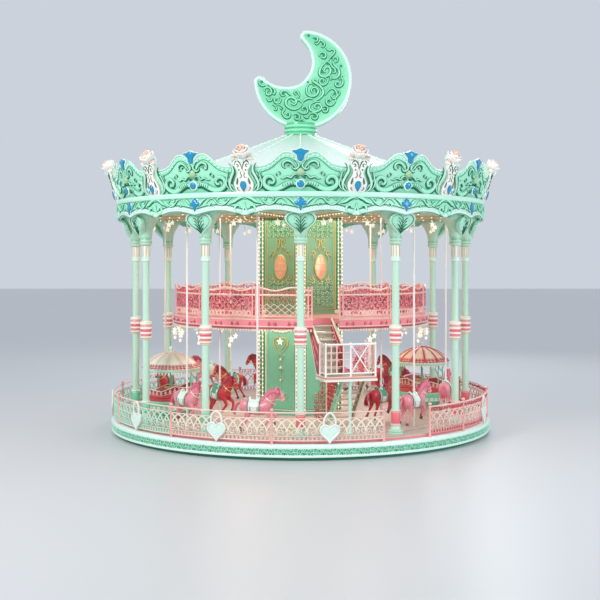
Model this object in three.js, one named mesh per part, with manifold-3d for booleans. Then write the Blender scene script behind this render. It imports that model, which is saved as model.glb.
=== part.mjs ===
// Fairground carousel with two decks, in millimetres, +Z up, the entrance side towards -Y.
// An angle is in degrees from -Y towards +X, so a point is (r sin a, -r cos a, z).
import * as THREE from "three";
import { mergeVertices } from "three/addons/utils/BufferGeometryUtils.js";
import Module from "manifold-3d";

const wasm = await Module();
wasm.setup();

// Layout shared by several pieces
const BAYS = 12;
const BAY = 360 / BAYS;
const FIT = 0.3; // left between two pieces that touch
const FLOOR = 489; // top of the boarding rim and of the turning floor
const DECK = 3420; // top of the upper deck
const CEILING = 6245; // underside of the fixed canopy beam

// Base
const PLINTH_R = 5450;
const PLINTH_TOP = 84;
const PIN_R = 150;
const RIM_IN = 4740;
const RIM_OUT = 5583;
const TURN_R = 4720;
const TURN_UNDER = 400;
const PIN_TOP = TURN_UNDER - FIT; // the turning floor rests on the pin

// Columns
const COLUMN_RING = 4940;
const COLUMN_SIDES = 8;
const HEART_LEAN = 20;

// Fence
const FENCE_R = 5506;
const FENCE_FIRST = 22.5;
const POST = 60;
const LOCK_R = 5566;

// Riders
const OUTER_R = 4350;
const INNER_R = 3180;
const POLE_R = 27;
const POLE_HOLE = 28;
const POLE_FOOT = 112; // foot of a pole at the bottom of its stroke
const POLE_TOP = 6385;
const STROKE = 240;
const HOOF_CLEAR = 25; // lowest hoof above the floor at the bottom of the stroke
const OUTER_HORSES = [-45, -15, 45, 75, 135, 165, 195, 225, 255];
const INNER_HORSES = [-45, 45, 135, 225];
const OUTER_PHASE = [0.35, 0.1, 0.15, 0.6, 0.85, 0.3, 0.7, 1.0, 0.5];
const INNER_PHASE = [0.6, 0.3, 0.9, 0.0];
const CARRIAGES = [-75, 105];
const CARRIAGE_R = 3890;
const DOOR_HALF = 30; // half the angle of a tub's doorway
const DOOR_TURN = -30; // the doorway looks outwards and back

// Drum, deck and stairs
const DRUM_R = 1313;
const DECK_R = 3784;
const DECK_UNDER = 3300;
const RAIL_R = 3720;
const STAIR_AT = 16.4;
const LANDING_TOP = 1970;
const LANDING_UNDER = 1850;
const LANDING_NEAR = 3800;
const LANDING_FAR = 4620;
const NOTCH_NEAR = 3175;

// Crown frame that carries the poles
const CROWN_UNDER = 6230;
const CROWN_TOP = 6350;

// Canopy
const CORNICE_R = 5400;
const CORNICE_TOP = 6665;
const ROOF_FOOT = 6800;
const ROOF_TOP = 8710;
const COLLAR_TOP = 9090;
const MOON_X = 80;
const MOON_Z = 10390;
const MOON_R = 1464;
const TOP_TIP_R = 170; // the crescent's two tips are rounded
const LOW_TIP_R = 160;
const MOON_THICK = 340;

const rad = THREE.MathUtils.degToRad;
const point = (r, deg, z) => new THREE.Vector3(r * Math.sin(rad(deg)), -r * Math.cos(rad(deg)), z);
const front = (u, r, z) => new THREE.Vector3(u, -r, z);
const spun = (geometry, deg) => geometry.clone().rotateZ(rad(deg));

// Equal steps of angle from one end to the other, both ends kept.
function steps(from, to, count) {
  return Array.from({ length: count + 1 }, (_, i) => from + ((to - from) * i) / count);
}

// A closed three.js geometry as a solid that can be joined and cut.
function solid(geometry) {
  const source = geometry.index ? geometry.toNonIndexed() : geometry;
  const bare = new THREE.BufferGeometry();
  bare.setAttribute("position", source.getAttribute("position"));
  const merged = mergeVertices(bare, 1e-3);
  return new wasm.Manifold(
    new wasm.Mesh({
      numProp: 3,
      vertProperties: merged.attributes.position.array,
      triVerts: new Uint32Array(merged.index.array),
    }),
  );
}

const join = (pieces) => pieces.map(solid).reduce((all, one) => all.add(one));
const cut = (body, holes) => holes.reduce((left, hole) => left.subtract(solid(hole)), body);

// A solid back as a three.js geometry.
function skinOf(body) {
  const mesh = body.getMesh();
  const count = mesh.vertProperties.length / mesh.numProp;
  const spots = new Float32Array(count * 3);
  for (let i = 0; i < count; i++) {
    spots.set(mesh.vertProperties.subarray(i * mesh.numProp, i * mesh.numProp + 3), i * 3);
  }
  const skin = new THREE.BufferGeometry();
  skin.setAttribute("position", new THREE.BufferAttribute(spots, 3));
  skin.setIndex(new THREE.BufferAttribute(mesh.triVerts, 1));
  skin.computeVertexNormals();
  return skin;
}

const carousel = new THREE.Group();
carousel.name = "carousel";

// Adds one named node, turned about the axis by deg and lifted by lift.
function addNode(name, body, colour, deg = 0, lift = 0) {
  const skin = body.isBufferGeometry ? body : skinOf(body);
  const mesh = new THREE.Mesh(skin, new THREE.MeshStandardMaterial({ color: colour }));
  mesh.name = name;
  mesh.rotation.z = rad(deg);
  mesh.position.z = lift;
  carousel.add(mesh);
}

// A profile of [radius, height] pairs turned about Z, from the axis back to the axis.
function turned(profile, sides) {
  const outline = profile.map(([r, z]) => new THREE.Vector2(r, z));
  return new THREE.LatheGeometry(outline, sides).rotateX(Math.PI / 2);
}

// A band about the axis. profileAt(deg) is its closed outline of [radius, height] pairs there.
function band(angles, profileAt, whole = false) {
  const rows = angles.map(profileAt);
  const outline = rows[0].map(([r, z]) => new THREE.Vector2(r, z));
  const wide = outline.length + 1;
  const count = whole ? rows.length : rows.length - 1;
  const skin = new THREE.LatheGeometry([...outline, outline[0]], count);
  const spots = skin.getAttribute("position");
  for (let i = 0; i <= count; i++) {
    for (let j = 0; j < wide; j++) {
      const [r, z] = rows[i % rows.length][j % outline.length];
      spots.setXYZ(i * wide + j, ...point(r, angles[i % rows.length], z));
    }
  }
  const index = [...skin.index.array];
  const caps = whole ? [] : THREE.ShapeUtils.triangulateShape(outline, []);
  const last = count * wide;
  for (const [a, b, c] of caps) index.push(a, b, c, last + a, last + c, last + b);
  skin.setIndex(index);
  return skin;
}

// A band of one constant rectangular section.
function hoop(inner, outer, under, top, angles, whole = false) {
  const section = [
    [inner, under],
    [outer, under],
    [outer, top],
    [inner, top],
  ];
  return band(angles, () => section, whole);
}

// Moves a shape that stands along +Y so that it runs from p to q.
function along(shape, p, q) {
  const line = q.clone().sub(p).normalize();
  const flat = new THREE.Vector3(-line.y, line.x, 0);
  const side = flat.length() < 0.01 ? new THREE.Vector3(1, 0, 0) : flat.normalize();
  const third = side.clone().cross(line);
  const middle = p.clone().add(q).multiplyScalar(0.5);
  return shape.applyMatrix4(new THREE.Matrix4().makeBasis(side, line, third).setPosition(middle));
}

// A square bar from p to q, across wide sideways and thick the other way.
function bar(p, q, across, thick) {
  return along(new THREE.BoxGeometry(across, p.distanceTo(q), thick), p, q);
}

// A tapered round limb from p to q.
function limb(p, q, startR, endR, sides) {
  return along(new THREE.CylinderGeometry(endR, startR, p.distanceTo(q), sides), p, q);
}

// An upright box at the front of the ring, turned to its angle.
function upright(r, deg, under, top, across, deep) {
  const box = new THREE.BoxGeometry(across, deep, top - under);
  return spun(box.translate(0, -r, (under + top) / 2), deg);
}

// An upright eight-sided rod or hole at the front of the ring, turned to its angle.
function rod(r, deg, under, top, radius) {
  const round = new THREE.CylinderGeometry(radius, radius, top - under, 8).rotateX(Math.PI / 2);
  return spun(round.translate(0, -r, (under + top) / 2), deg);
}

// A heart of the given width and height in the XZ plane, its lowest point at the origin.
function heart(width, height, thick, count) {
  const outline = [];
  for (let i = 0; i < count; i++) {
    const t = (2 * Math.PI * i) / count;
    const x = Math.sin(t) ** 3;
    const y = (13 * Math.cos(t) - 5 * Math.cos(2 * t) - 2 * Math.cos(3 * t) - Math.cos(4 * t) + 17) / 29;
    outline.push(new THREE.Vector2((x * width) / 2, y * height));
  }
  const plate = new THREE.ExtrudeGeometry(new THREE.Shape(outline), {
    depth: thick,
    bevelEnabled: false,
  });
  return plate.rotateX(Math.PI / 2);
}

// Base: plinth, centre pin and boarding rim
function addBase() {
  const plinth = [
    [0, 0],
    [PLINTH_R, 0],
    [PLINTH_R, PLINTH_TOP],
    [0, PLINTH_TOP],
  ];
  addNode("base_plinth", turned(plinth, 24), 0x2f9c78);
  const pin = [
    [0, PLINTH_TOP + FIT],
    [PIN_R, PLINTH_TOP + FIT],
    [PIN_R, PIN_TOP],
    [0, PIN_TOP],
  ];
  addNode("centre_pin", turned(pin, 12), 0x8a8f94);
  const rim = [
    [RIM_IN, PLINTH_TOP + FIT],
    [RIM_OUT, PLINTH_TOP + FIT],
    [RIM_OUT, 147],
    [RIM_OUT - 38, 152],
    [RIM_OUT - 38, 262],
    [RIM_OUT, 284],
    [RIM_OUT - 8, 400],
    [5400, 400],
    [5400, FLOOR],
    [RIM_IN, FLOOR],
  ];
  addNode("base_rim", band(steps(0, 350, 35), () => rim, true), 0x96ebc8);
}

// Columns: flared foot, drum, shaft, collar, upper shaft, capital and heart shield
function addColumns() {
  const profile = [
    [0, FLOOR + FIT],
    [192, FLOOR + FIT],
    [192, 540],
    [110, 700],
    [100, 2790],
    [168, 2840],
    [168, 3260],
    [98, 3310],
    [94, 5000],
    [110, 5400],
    [178, 5450],
    [150, 5540],
    [385, 6150],
    [385, CEILING - FIT],
    [0, CEILING - FIT],
  ];
  const shaft = turned(profile, COLUMN_SIDES).translate(0, -COLUMN_RING, 0);
  const shield = heart(810, 610, 60, 10).rotateX(rad(HEART_LEAN)).translate(0, -COLUMN_RING - 130, 5600);
  const column = skinOf(join([shaft, shield]));
  for (let k = 0; k < BAYS; k++) {
    const number = String(k + 1).padStart(2, "0");
    addNode("column_" + number, column.clone(), 0x96ebc8, k * BAY);
  }
}

// Canopy: cornice with scalloped valance, cresting with crown shields and roses, roof
function addCanopy() {
  const hem = [6130, 6232, 6100, 6232];
  const cornice = (deg) => {
    const low = hem[Math.round(deg / 7.5) % 4];
    return [
      [4850, CEILING],
      [CORNICE_R - 45, CEILING],
      [CORNICE_R - 45, low],
      [CORNICE_R, low],
      [CORNICE_R, CORNICE_TOP],
      [5340, CORNICE_TOP],
      [5340, ROOF_FOOT],
      [5100, ROOF_FOOT],
      [5100, 6330],
      [4850, 6330],
    ];
  };
  addNode("cornice", band(steps(0, 352.5, 47), cornice, true), 0xe6fff5);

  const offsets = [0, 3.6, 7.5, 11, 15, 19, 22.5, 26.4];
  const heights = [7500, 7690, 7420, 7340, 7640, 7340, 7420, 7690];
  const leans = [0.2, 0.2, 0.2, 0.2, 0.3, 0.2, 0.2, 0.2];
  const angles = [];
  for (let k = 0; k < BAYS; k++) angles.push(...offsets.map((one) => k * BAY + one));
  const crest = (deg) => {
    const i = offsets.findIndex((one) => Math.abs(one - (deg % BAY)) < 0.01);
    const top = heights[i];
    const out = CORNICE_R + leans[i] * (top - CORNICE_TOP);
    return [
      [CORNICE_R, CORNICE_TOP + FIT],
      [out, top],
      [out - 50, top],
      [CORNICE_R - 50, CORNICE_TOP + FIT],
    ];
  };
  const pieces = [band(angles, crest, true)];
  for (let k = 0; k < BAYS; k++) {
    const rose = new THREE.IcosahedronGeometry(178, 0).translate(0, -5770, 7708);
    pieces.push(spun(rose, k * BAY + BAY / 2));
  }
  addNode("cresting", join(pieces), 0xe6fff5);

  const roof = [
    [5150, ROOF_FOOT + FIT],
    [5325, ROOF_FOOT + FIT],
    [5325, 6860],
    [450, ROOF_TOP],
    [300, ROOF_TOP],
    [300, 8640],
  ];
  addNode("roof", band(steps(0, 330, 11), () => roof, true), 0xf3fff9);
}

// Collar and crescent moon on top of the roof
function addMoon() {
  const collar = [
    [0, ROOF_TOP + FIT],
    [470, ROOF_TOP + FIT],
    [475, 8830],
    [430, 8880],
    [475, 8990],
    [440, COLLAR_TOP],
    [0, COLLAR_TOP],
  ];
  addNode("moon_collar", turned(collar, 18), 0x6fd0a8);
  // Part of a circle of radius r that sits reach from the moon's middle towards deg.
  const arc = (reach, deg, r, from, to, count) =>
    steps(from, to, count).map((turn) => {
      const x = reach * Math.cos(rad(deg)) + r * Math.cos(rad(turn));
      return new THREE.Vector2(x, reach * Math.sin(rad(deg)) + r * Math.sin(rad(turn)));
    });
  const inner = [
    [144, 940],
    [235, 670],
    [251, 458],
    [171, 190],
    [-44, -80],
    [-260, -180],
    [-472, -210],
    [-700, -190],
    [-901, -130],
    [-1085, -15],
  ];
  const outline = [
    ...arc(0, 0, MOON_R, 186, 442, 32),
    ...arc(MOON_R - TOP_TIP_R, 86, TOP_TIP_R, 92, 230, 6),
    ...inner.map(([x, z]) => new THREE.Vector2(x, z)),
    ...arc(MOON_R - LOW_TIP_R, 182.3, LOW_TIP_R, 44, 176, 6),
  ];
  const plate = new THREE.ExtrudeGeometry(new THREE.Shape(outline), {
    depth: MOON_THICK,
    bevelEnabled: false,
  });
  plate.rotateX(Math.PI / 2).translate(MOON_X, MOON_THICK / 2, MOON_Z);
  const seat = turned(
    [
      [0, 8600],
      [485, 8600],
      [485, COLLAR_TOP + FIT],
      [0, COLLAR_TOP + FIT],
    ],
    18,
  );
  addNode("moon", cut(solid(plate), [seat]), 0x9ff0cf);
}

// Fence in six runs between posts, with a heart padlock in each whole bay
function fenceRun(from, to, posts, locks, closing) {
  const end = closing ? to : to - THREE.MathUtils.radToDeg((POST / 2 + 0.4) / FENCE_R);
  const count = Math.round((to - from) / 7.5);
  const turns = steps(from, to, count);
  turns[count] = end;
  const inner = FENCE_R - 20;
  const outer = FENCE_R + 20;
  const pieces = [
    hoop(inner, outer, 480, 525, turns),
    hoop(inner, outer, 1025, 1060, turns),
    hoop(inner, outer, 1168, 1212, turns),
  ];
  for (const deg of posts) {
    pieces.push(upright(FENCE_R, deg, 400 + FIT, 1225, POST, POST));
    pieces.push(spun(new THREE.OctahedronGeometry(52).translate(0, -FENCE_R, 1245), deg));
  }
  for (let i = 0; i < count; i += 2) {
    const low = i % 4 ? 1040 : 505;
    const high = i % 4 ? 505 : 1040;
    pieces.push(bar(point(FENCE_R, turns[i], low), point(FENCE_R, turns[i + 1], high), 18, 24));
  }
  for (const deg of locks) {
    pieces.push(spun(heart(540, 490, 70, 10).translate(0, -FENCE_R - 8, 425), deg));
    for (const side of [-110, 110]) {
      pieces.push(spun(bar(front(side, LOCK_R - 15, 860), front(0, LOCK_R - 15, 1190), 40, 40), deg));
    }
  }
  return join(pieces);
}

function addFence() {
  const firstPost = FENCE_FIRST + 15;
  addNode("fence_run_1", fenceRun(firstPost, 82.5, [firstPost, 52.5], [67.5], false), 0xf7c7bd);
  for (let k = 0; k < 5; k++) {
    const from = 82.5 + k * 60;
    const closing = k === 4;
    const posts = closing ? [from, from + 30, from + 60] : [from, from + 30];
    const run = fenceRun(from, from + 60, posts, [from + 15, from + 45], closing);
    addNode("fence_run_" + (k + 2), run, 0xf7c7bd);
  }
}

// Turning floor with its hub, and the drum
function addTurntable() {
  const disc = [
    [0, TURN_UNDER],
    [TURN_R, TURN_UNDER],
    [TURN_R, FLOOR],
    [0, FLOOR],
  ];
  const hub = hoop(PIN_R + 6, 300, PLINTH_TOP + 10, TURN_UNDER + 20, steps(0, 330, 11), true);
  const holes = [];
  for (const deg of OUTER_HORSES) holes.push(rod(OUTER_R, deg, TURN_UNDER - 50, FLOOR + 50, POLE_HOLE));
  for (const deg of INNER_HORSES) holes.push(rod(INNER_R, deg, TURN_UNDER - 50, FLOOR + 50, POLE_HOLE));
  addNode("turning_floor", cut(join([turned(disc, 36), hub]), holes), 0xd9b8ae);
  addNode("drum_lower", drumPart(FLOOR + FIT, DECK_UNDER - FIT), 0x3fa6a0);
  addNode("drum_upper", drumPart(DECK + FIT, 6500), 0x6faf84);
}

// A six-sided drum with a pilaster at each corner.
function drumPart(under, top) {
  const core = new THREE.CylinderGeometry(DRUM_R, DRUM_R, top - under, 6).rotateX(Math.PI / 2);
  const pieces = [core.translate(0, 0, (under + top) / 2)];
  for (let k = 0; k < 6; k++) pieces.push(upright(DRUM_R - 20, k * 60, under, top, 250, 90));
  return join(pieces);
}

// Upper deck with its joists and fascia
function addDeck() {
  const disc = [
    [0, DECK_UNDER],
    [3700 - FIT, DECK_UNDER],
    [3700 - FIT, DECK],
    [0, DECK],
  ];
  const pieces = [turned(disc, 36)];
  for (let k = 0; k < 6; k++) {
    const joist = bar(front(0, 1450, 3250), front(0, 3640, 3250), 100, 120);
    pieces.push(spun(joist, 30 + k * 60));
  }
  const notch = new THREE.BoxGeometry(690, 900, 600).translate(-385, -NOTCH_NEAR - 450, 3300);
  const holes = INNER_HORSES.map((deg) => rod(INNER_R, deg, 3150, 3500, POLE_HOLE));
  addNode("deck_floor", cut(join(pieces), [spun(notch, STAIR_AT), ...holes]), 0xd9b8ae);
  const fascia = [
    [3700, 3180],
    [DECK_R - 20, 3140],
    [DECK_R, 3200],
    [DECK_R, DECK],
    [3700, DECK],
  ];
  const ring = solid(band(steps(0, 350, 35), () => fascia, true));
  addNode("deck_fascia", cut(ring, [spun(notch, STAIR_AT)]), 0xf08c90);
}

// Railing of the upper deck in runs, with a straight rail and a wavy one above it
function deckRail(from, to) {
  const count = Math.round((to - from) / 7.5);
  const turns = steps(from, to, count);
  const inner = RAIL_R - 18;
  const outer = RAIL_R + 18;
  const wave = (deg) => {
    const mid = 4215 + 45 * Math.cos(rad((deg + 18) * 24));
    return [
      [inner, mid - 18],
      [outer, mid - 18],
      [outer, mid + 18],
      [inner, mid + 18],
    ];
  };
  const pieces = [
    hoop(inner, outer, 3470, 3510, turns),
    hoop(inner, outer, 4040, 4080, turns),
    band(turns, wave),
  ];
  const posts = [from, to];
  if (count > 4) posts.push(turns[count / 2]);
  for (const deg of posts) pieces.push(upright(RAIL_R, deg, DECK + FIT, 4250, 44, 44));
  for (let i = 0; i < count; i += 2) {
    const low = i % 4 ? 4055 : 3490;
    const high = i % 4 ? 3490 : 4055;
    pieces.push(bar(point(RAIL_R, turns[i], low), point(RAIL_R, turns[i + 1], high), 16, 22));
  }
  return join(pieces);
}

function addDeckRails() {
  const gap = 0.8;
  const runs = [
    [-18 + gap, 4.6],
    [16.3, 42 - gap],
  ];
  for (let k = 0; k < 5; k++) runs.push([42 + k * 60 + gap, 102 + k * 60 - gap]);
  runs.forEach(([from, to], i) => addNode("deck_rail_" + (i + 1), deckRail(from, to), 0xf08c90));
}

// A straight flight at the front of the ring from its top edge down to its foot. Its two side plates are
// plate deep at the top and stand guard high at the foot.
function flight(top, foot, left, right, risers, plate, guard) {
  const rise = (top.z - foot.z) / risers;
  const run = (foot.r - top.r) / risers;
  const shape = new THREE.Shape([
    new THREE.Vector2(top.r, top.z),
    new THREE.Vector2(top.r, top.z - plate),
    new THREE.Vector2(foot.r - (plate * run) / rise, foot.z),
    new THREE.Vector2(foot.r, foot.z),
    new THREE.Vector2(foot.r, foot.z + guard),
  ]);
  const side = new THREE.ExtrudeGeometry(shape, { depth: 36, bevelEnabled: false });
  // The shape's x becomes the radius, its y the height, and its thickness runs sideways.
  side.applyMatrix4(new THREE.Matrix4().set(0, 0, -1, 0, -1, 0, 0, 0, 0, 1, 0, 0, 0, 0, 0, 1));
  const pieces = [side.clone().translate(left + 36, 0, 0), side.clone().translate(right, 0, 0)];
  for (let i = 1; i < risers; i++) {
    const tread = new THREE.BoxGeometry(right - left - 20, 180, 32);
    const r = top.r + run * (i - 0.4);
    pieces.push(tread.translate((left + right) / 2, -r, top.z - rise * i - 16));
  }
  return join(pieces);
}

// Stairs: upper flight, landing with its post, railing and lower flight
function addStairs() {
  const deckEdge = { r: NOTCH_NEAR + FIT, z: DECK - 2 };
  const upper = flight(deckEdge, { r: 4060, z: LANDING_TOP + FIT }, -700, -72, 8, 300, 830);
  addNode("upper_flight", upper, 0xd84349, STAIR_AT);

  const slab = new THREE.BoxGeometry(1400, LANDING_FAR - LANDING_NEAR, LANDING_TOP - LANDING_UNDER);
  slab.translate(0, -(LANDING_NEAR + LANDING_FAR) / 2, (LANDING_TOP + LANDING_UNDER) / 2);
  const post = rod(4540, 0, FLOOR + FIT, LANDING_UNDER + 40, 45);
  addNode("landing", join([slab, post]), 0x96ebc8, STAIR_AT);

  const rails = [];
  const corners = [
    [-680, 4100],
    [-680, 4600],
    [0, 4600],
    [680, 4600],
    [680, 3830],
  ];
  for (const z of [2060, 2810]) {
    for (let i = 0; i < corners.length - 1; i++) {
      rails.push(bar(front(...corners[i], z), front(...corners[i + 1], z), 36, 36));
    }
  }
  for (const [u, r] of corners) {
    rails.push(upright(r, 0, LANDING_TOP + FIT, 2850, 44, 44).translate(u, 0, 0));
  }
  for (const side of [-1, 1]) {
    rails.push(bar(front(side * 680, 4600, 2060), front(0, 4600, 2810), 20, 20));
    rails.push(bar(front(0, 4600, 2060), front(side * 680, 4600, 2810), 20, 20));
  }
  addNode("landing_rail", join(rails), 0xf4f4ee, STAIR_AT);

  const landingEdge = { r: LANDING_NEAR - FIT, z: LANDING_TOP - 2 };
  const lower = flight(landingEdge, { r: 2520, z: FLOOR + FIT }, 50, 680, 8, 240, 120);
  addNode("lower_flight", lower, 0x96ebc8, STAIR_AT);
}

// Carriages: a round tub with a bench, and a domed canopy on a post
function addCarriages() {
  const base = [
    [0, FLOOR + FIT],
    [520, FLOOR + FIT],
    [560, 600],
    [700, 700],
    [700, 740],
    [0, 740],
  ];
  const tops = [1180, 1300, 1250, 1400, 1330, 1420, 1330, 1400, 1250, 1300, 1180];
  const turns = steps(DOOR_HALF, 360 - DOOR_HALF, 10);
  const wall = (deg) => {
    const top = tops[Math.round((deg - DOOR_HALF) / 30)];
    return [
      [640, 720],
      [700, 720],
      [760, top],
      [705, top],
    ];
  };
  const bench = hoop(380, 670, 730, 930, steps(70, 290, 8));
  const post = rod(0, 0, 720, 2240, 40);
  const tub = spun(skinOf(join([turned(base, 12), band(turns, wall), bench, post])), DOOR_TURN);
  const dome = [
    [0, 2240 + FIT],
    [60, 2240 + FIT],
    [420, 2140],
    [800, 1850],
    [800, 1790],
    [840, 1790],
    [840, 1890],
    [450, 2210],
    [70, 2340],
    [40, 2420],
    [0, 2500],
  ];
  CARRIAGES.forEach((deg, i) => {
    const lid = turned(dome, 12).translate(0, -CARRIAGE_R, 0);
    addNode("carriage_tub_" + (i + 1), tub.clone().translate(0, -CARRIAGE_R, 0), 0xd84349, deg);
    addNode("carriage_canopy_" + (i + 1), lid, 0x96ebc8, deg);
  });
}

// Crown frame: collar round the drum, arms and two rings with the holes for the poles
function addCrown() {
  const collar = new THREE.CylinderGeometry(1500, 1500, CROWN_TOP - CROWN_UNDER, 6);
  const middle = (CROWN_TOP + CROWN_UNDER) / 2;
  const pieces = [collar.rotateX(Math.PI / 2).translate(0, 0, middle)];
  for (let k = 0; k < BAYS; k++) {
    const arm = new THREE.BoxGeometry(90, 3340, CROWN_TOP - CROWN_UNDER).translate(0, -2970, middle);
    pieces.push(spun(arm, k * BAY + BAY / 2));
  }
  const turns = steps(BAY / 2, 345, 11);
  for (const r of [INNER_R, OUTER_R]) {
    pieces.push(hoop(r - 45, r + 45, CROWN_UNDER + 15, CROWN_TOP - 15, turns, true));
  }
  const drum = new THREE.CylinderGeometry(DRUM_R + 1, DRUM_R + 1, 600, 6).rotateX(Math.PI / 2);
  const holes = [drum.translate(0, 0, middle)];
  for (let k = 0; k < 6; k++) holes.push(upright(DRUM_R - 20, k * 60, 6000, 6600, 251, 91));
  for (const deg of OUTER_HORSES) holes.push(rod(OUTER_R, deg, 6100, 6500, POLE_HOLE));
  for (const deg of INNER_HORSES) holes.push(rod(INNER_R, deg, 6100, 6500, POLE_HOLE));
  addNode("crown_frame", cut(join(pieces), holes), 0xcdb66a);
}

// A galloping horse with its pole through the saddle, feet towards z = 0, nose towards +X
function horse() {
  const barrel = new THREE.SphereGeometry(1, 6, 4).rotateZ(Math.PI / 2).scale(440, 175, 200);
  const pieces = [barrel.translate(-10, 0, 600)];
  const part = (from, to, startR, endR, sides, y = 0) => {
    const start = new THREE.Vector3(from[0], y, from[1]);
    pieces.push(limb(start, new THREE.Vector3(to[0], y, to[1]), startR, endR, sides));
  };
  part([250, 640], [470, 1040], 150, 85, 5);
  part([420, 1090], [715, 860], 95, 52, 4);
  part([-380, 700], [-650, 430], 50, 60, 3);
  for (const [outline, y] of [
    [[[170, 560], [300, 560], [500, 440], [470, 170], [400, 180], [410, 390]], 50],
    [[[170, 560], [300, 560], [420, 340], [250, 140], [185, 175], [320, 345]], -120],
    [[[-400, 640], [-220, 560], [-290, 340], [-470, 60], [-550, 90], [-390, 340]], 50],
    [[[-400, 640], [-220, 560], [-200, 320], [-350, 0], [-430, 30], [-300, 330]], -120],
  ]) {
    const shape = new THREE.Shape(outline.map(([x, z]) => new THREE.Vector2(x, z)));
    const leg = new THREE.ExtrudeGeometry(shape, { depth: 70, bevelEnabled: false });
    pieces.push(leg.rotateX(Math.PI / 2).translate(0, y + 70, 0));
  }
  return pieces;
}

function addHorses() {
  const length = POLE_TOP - POLE_FOOT;
  const hoof = FLOOR + HOOF_CLEAR;
  const make = (ring) => {
    const pole = new THREE.CylinderGeometry(POLE_R, POLE_R, length, 8).rotateX(Math.PI / 2);
    pole.translate(0, 0, POLE_FOOT + length / 2);
    const body = horse().map((piece) => piece.translate(0, 0, hoof));
    return skinOf(join([pole, ...body])).translate(0, -ring, 0);
  };
  const outer = make(OUTER_R);
  const inner = make(INNER_R);
  OUTER_HORSES.forEach((deg, i) => {
    addNode("horse_" + (i + 1), outer.clone(), 0xf5b9b5, deg, STROKE * OUTER_PHASE[i]);
  });
  INNER_HORSES.forEach((deg, i) => {
    addNode("horse_" + (i + 10), inner.clone(), 0xd84349, deg, STROKE * INNER_PHASE[i]);
  });
}

addBase();
addColumns();
addCanopy();
addMoon();
addFence();
addTurntable();
addDeck();
addDeckRails();
addStairs();
addCarriages();
addCrown();
addHorses();

export default carousel;
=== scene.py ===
"""Looks of a two-deck fairground carousel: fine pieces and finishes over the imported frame, in metres."""
import math

import bpy
import numpy as np
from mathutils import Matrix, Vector


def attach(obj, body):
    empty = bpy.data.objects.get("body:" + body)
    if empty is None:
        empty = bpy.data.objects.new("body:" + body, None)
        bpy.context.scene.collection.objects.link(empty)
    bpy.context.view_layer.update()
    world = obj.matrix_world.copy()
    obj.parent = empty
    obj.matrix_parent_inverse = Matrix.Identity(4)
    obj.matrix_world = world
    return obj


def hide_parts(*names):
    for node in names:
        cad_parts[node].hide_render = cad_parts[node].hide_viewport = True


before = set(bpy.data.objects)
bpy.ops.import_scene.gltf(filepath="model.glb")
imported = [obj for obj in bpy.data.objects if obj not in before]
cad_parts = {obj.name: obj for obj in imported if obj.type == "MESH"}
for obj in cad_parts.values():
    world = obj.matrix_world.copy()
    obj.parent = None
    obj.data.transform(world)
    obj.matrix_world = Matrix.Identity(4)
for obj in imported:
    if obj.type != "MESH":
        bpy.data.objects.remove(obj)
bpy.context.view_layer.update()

BAYS = range(0, 360, 30)
SIXTHS = range(0, 360, 60)
COLUMN_R = 4.94
RIM_TOP, FLOOR_TOP, LANDING_TOP, DECK_TOP = 0.4895, 0.4893, 1.9703, 3.4203
DRUM_FACE_R = 1.1366
CARRIAGE_R, TUB_FLOOR = 3.89, 0.742
MOON_MIDDLE = 10.39
CORNICE_R = 5.4
CREST_FOOT = 6.665
FENCE_R = 5.506
DECK_RAIL_R = 3.72
STAIR_AT = 16.4
OUTER_R, INNER_R = 4.35, 3.18
OUTER_HORSES = (-45, -15, 45, 75, 135, 165, 195, 225, 255)
INNER_HORSES = (-45, 45, 135, 225)
OUTER_LIFT = (0.35, 0.1, 0.15, 0.6, 0.85, 0.3, 0.7, 1.0, 0.5)
INNER_LIFT = (0.6, 0.3, 0.9, 0.0)
STROKE = 0.24
HOOF = 0.514


# Camera and light

def in_scene(name, data):
    """A new object of this data in the scene."""
    made = bpy.data.objects.new(name, data)
    bpy.context.scene.collection.objects.link(made)
    return made


def camera_and_light():
    """Camera at the photograph's place, a pale sky and soft lamps round the ride and under its canopy and deck."""
    view = bpy.data.cameras.new("camera")
    view.lens, view.sensor_width, view.clip_end, view.shift_y = 63.95, 36, 400, -0.0647
    eye = in_scene("camera", view)
    eye.location = (-0.015, -31.98, 4.962)
    eye.rotation_euler = (math.radians(90), 0, 0)
    world = bpy.data.worlds.new("studio")
    world.use_nodes = True
    sky = world.node_tree.nodes["Background"].inputs
    sky["Color"].default_value = (0.8, 0.86, 0.95, 1)
    sky["Strength"].default_value = 0.75
    scene = bpy.context.scene
    scene.camera, scene.world = eye, world
    scene.view_settings.view_transform = "Standard"
    for name, spot, aim, size, power, tint in (
        ("key", (-14, -20, 17), (0, 0, 5), 10, 3300, (1, 0.98, 0.94)),
        ("fill", (18, -15, 9), (0, 0, 4), 12, 1500, (0.95, 0.98, 1)),
        ("back", (6, 22, 16), (0, 0, 6), 12, 1500, (1, 1, 1)),
        ("canopy_glow", (0, 0, 6.15), (0, 0, 0), 6.5, 260, (1, 0.9, 0.76)),
        ("deck_glow", (0, 0, 3.05), (0, 0, 0), 5.5, 170, (1, 0.9, 0.76)),
    ):
        lamp = bpy.data.lights.new(name, "AREA")
        lamp.shape, lamp.size, lamp.energy, lamp.color = "DISK", size, power, tint
        hung = in_scene(name, lamp)
        hung.location = spot
        hung.rotation_euler = (Vector(aim) - Vector(spot)).to_track_quat("-Z", "Y").to_euler()


# Finishes

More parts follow.
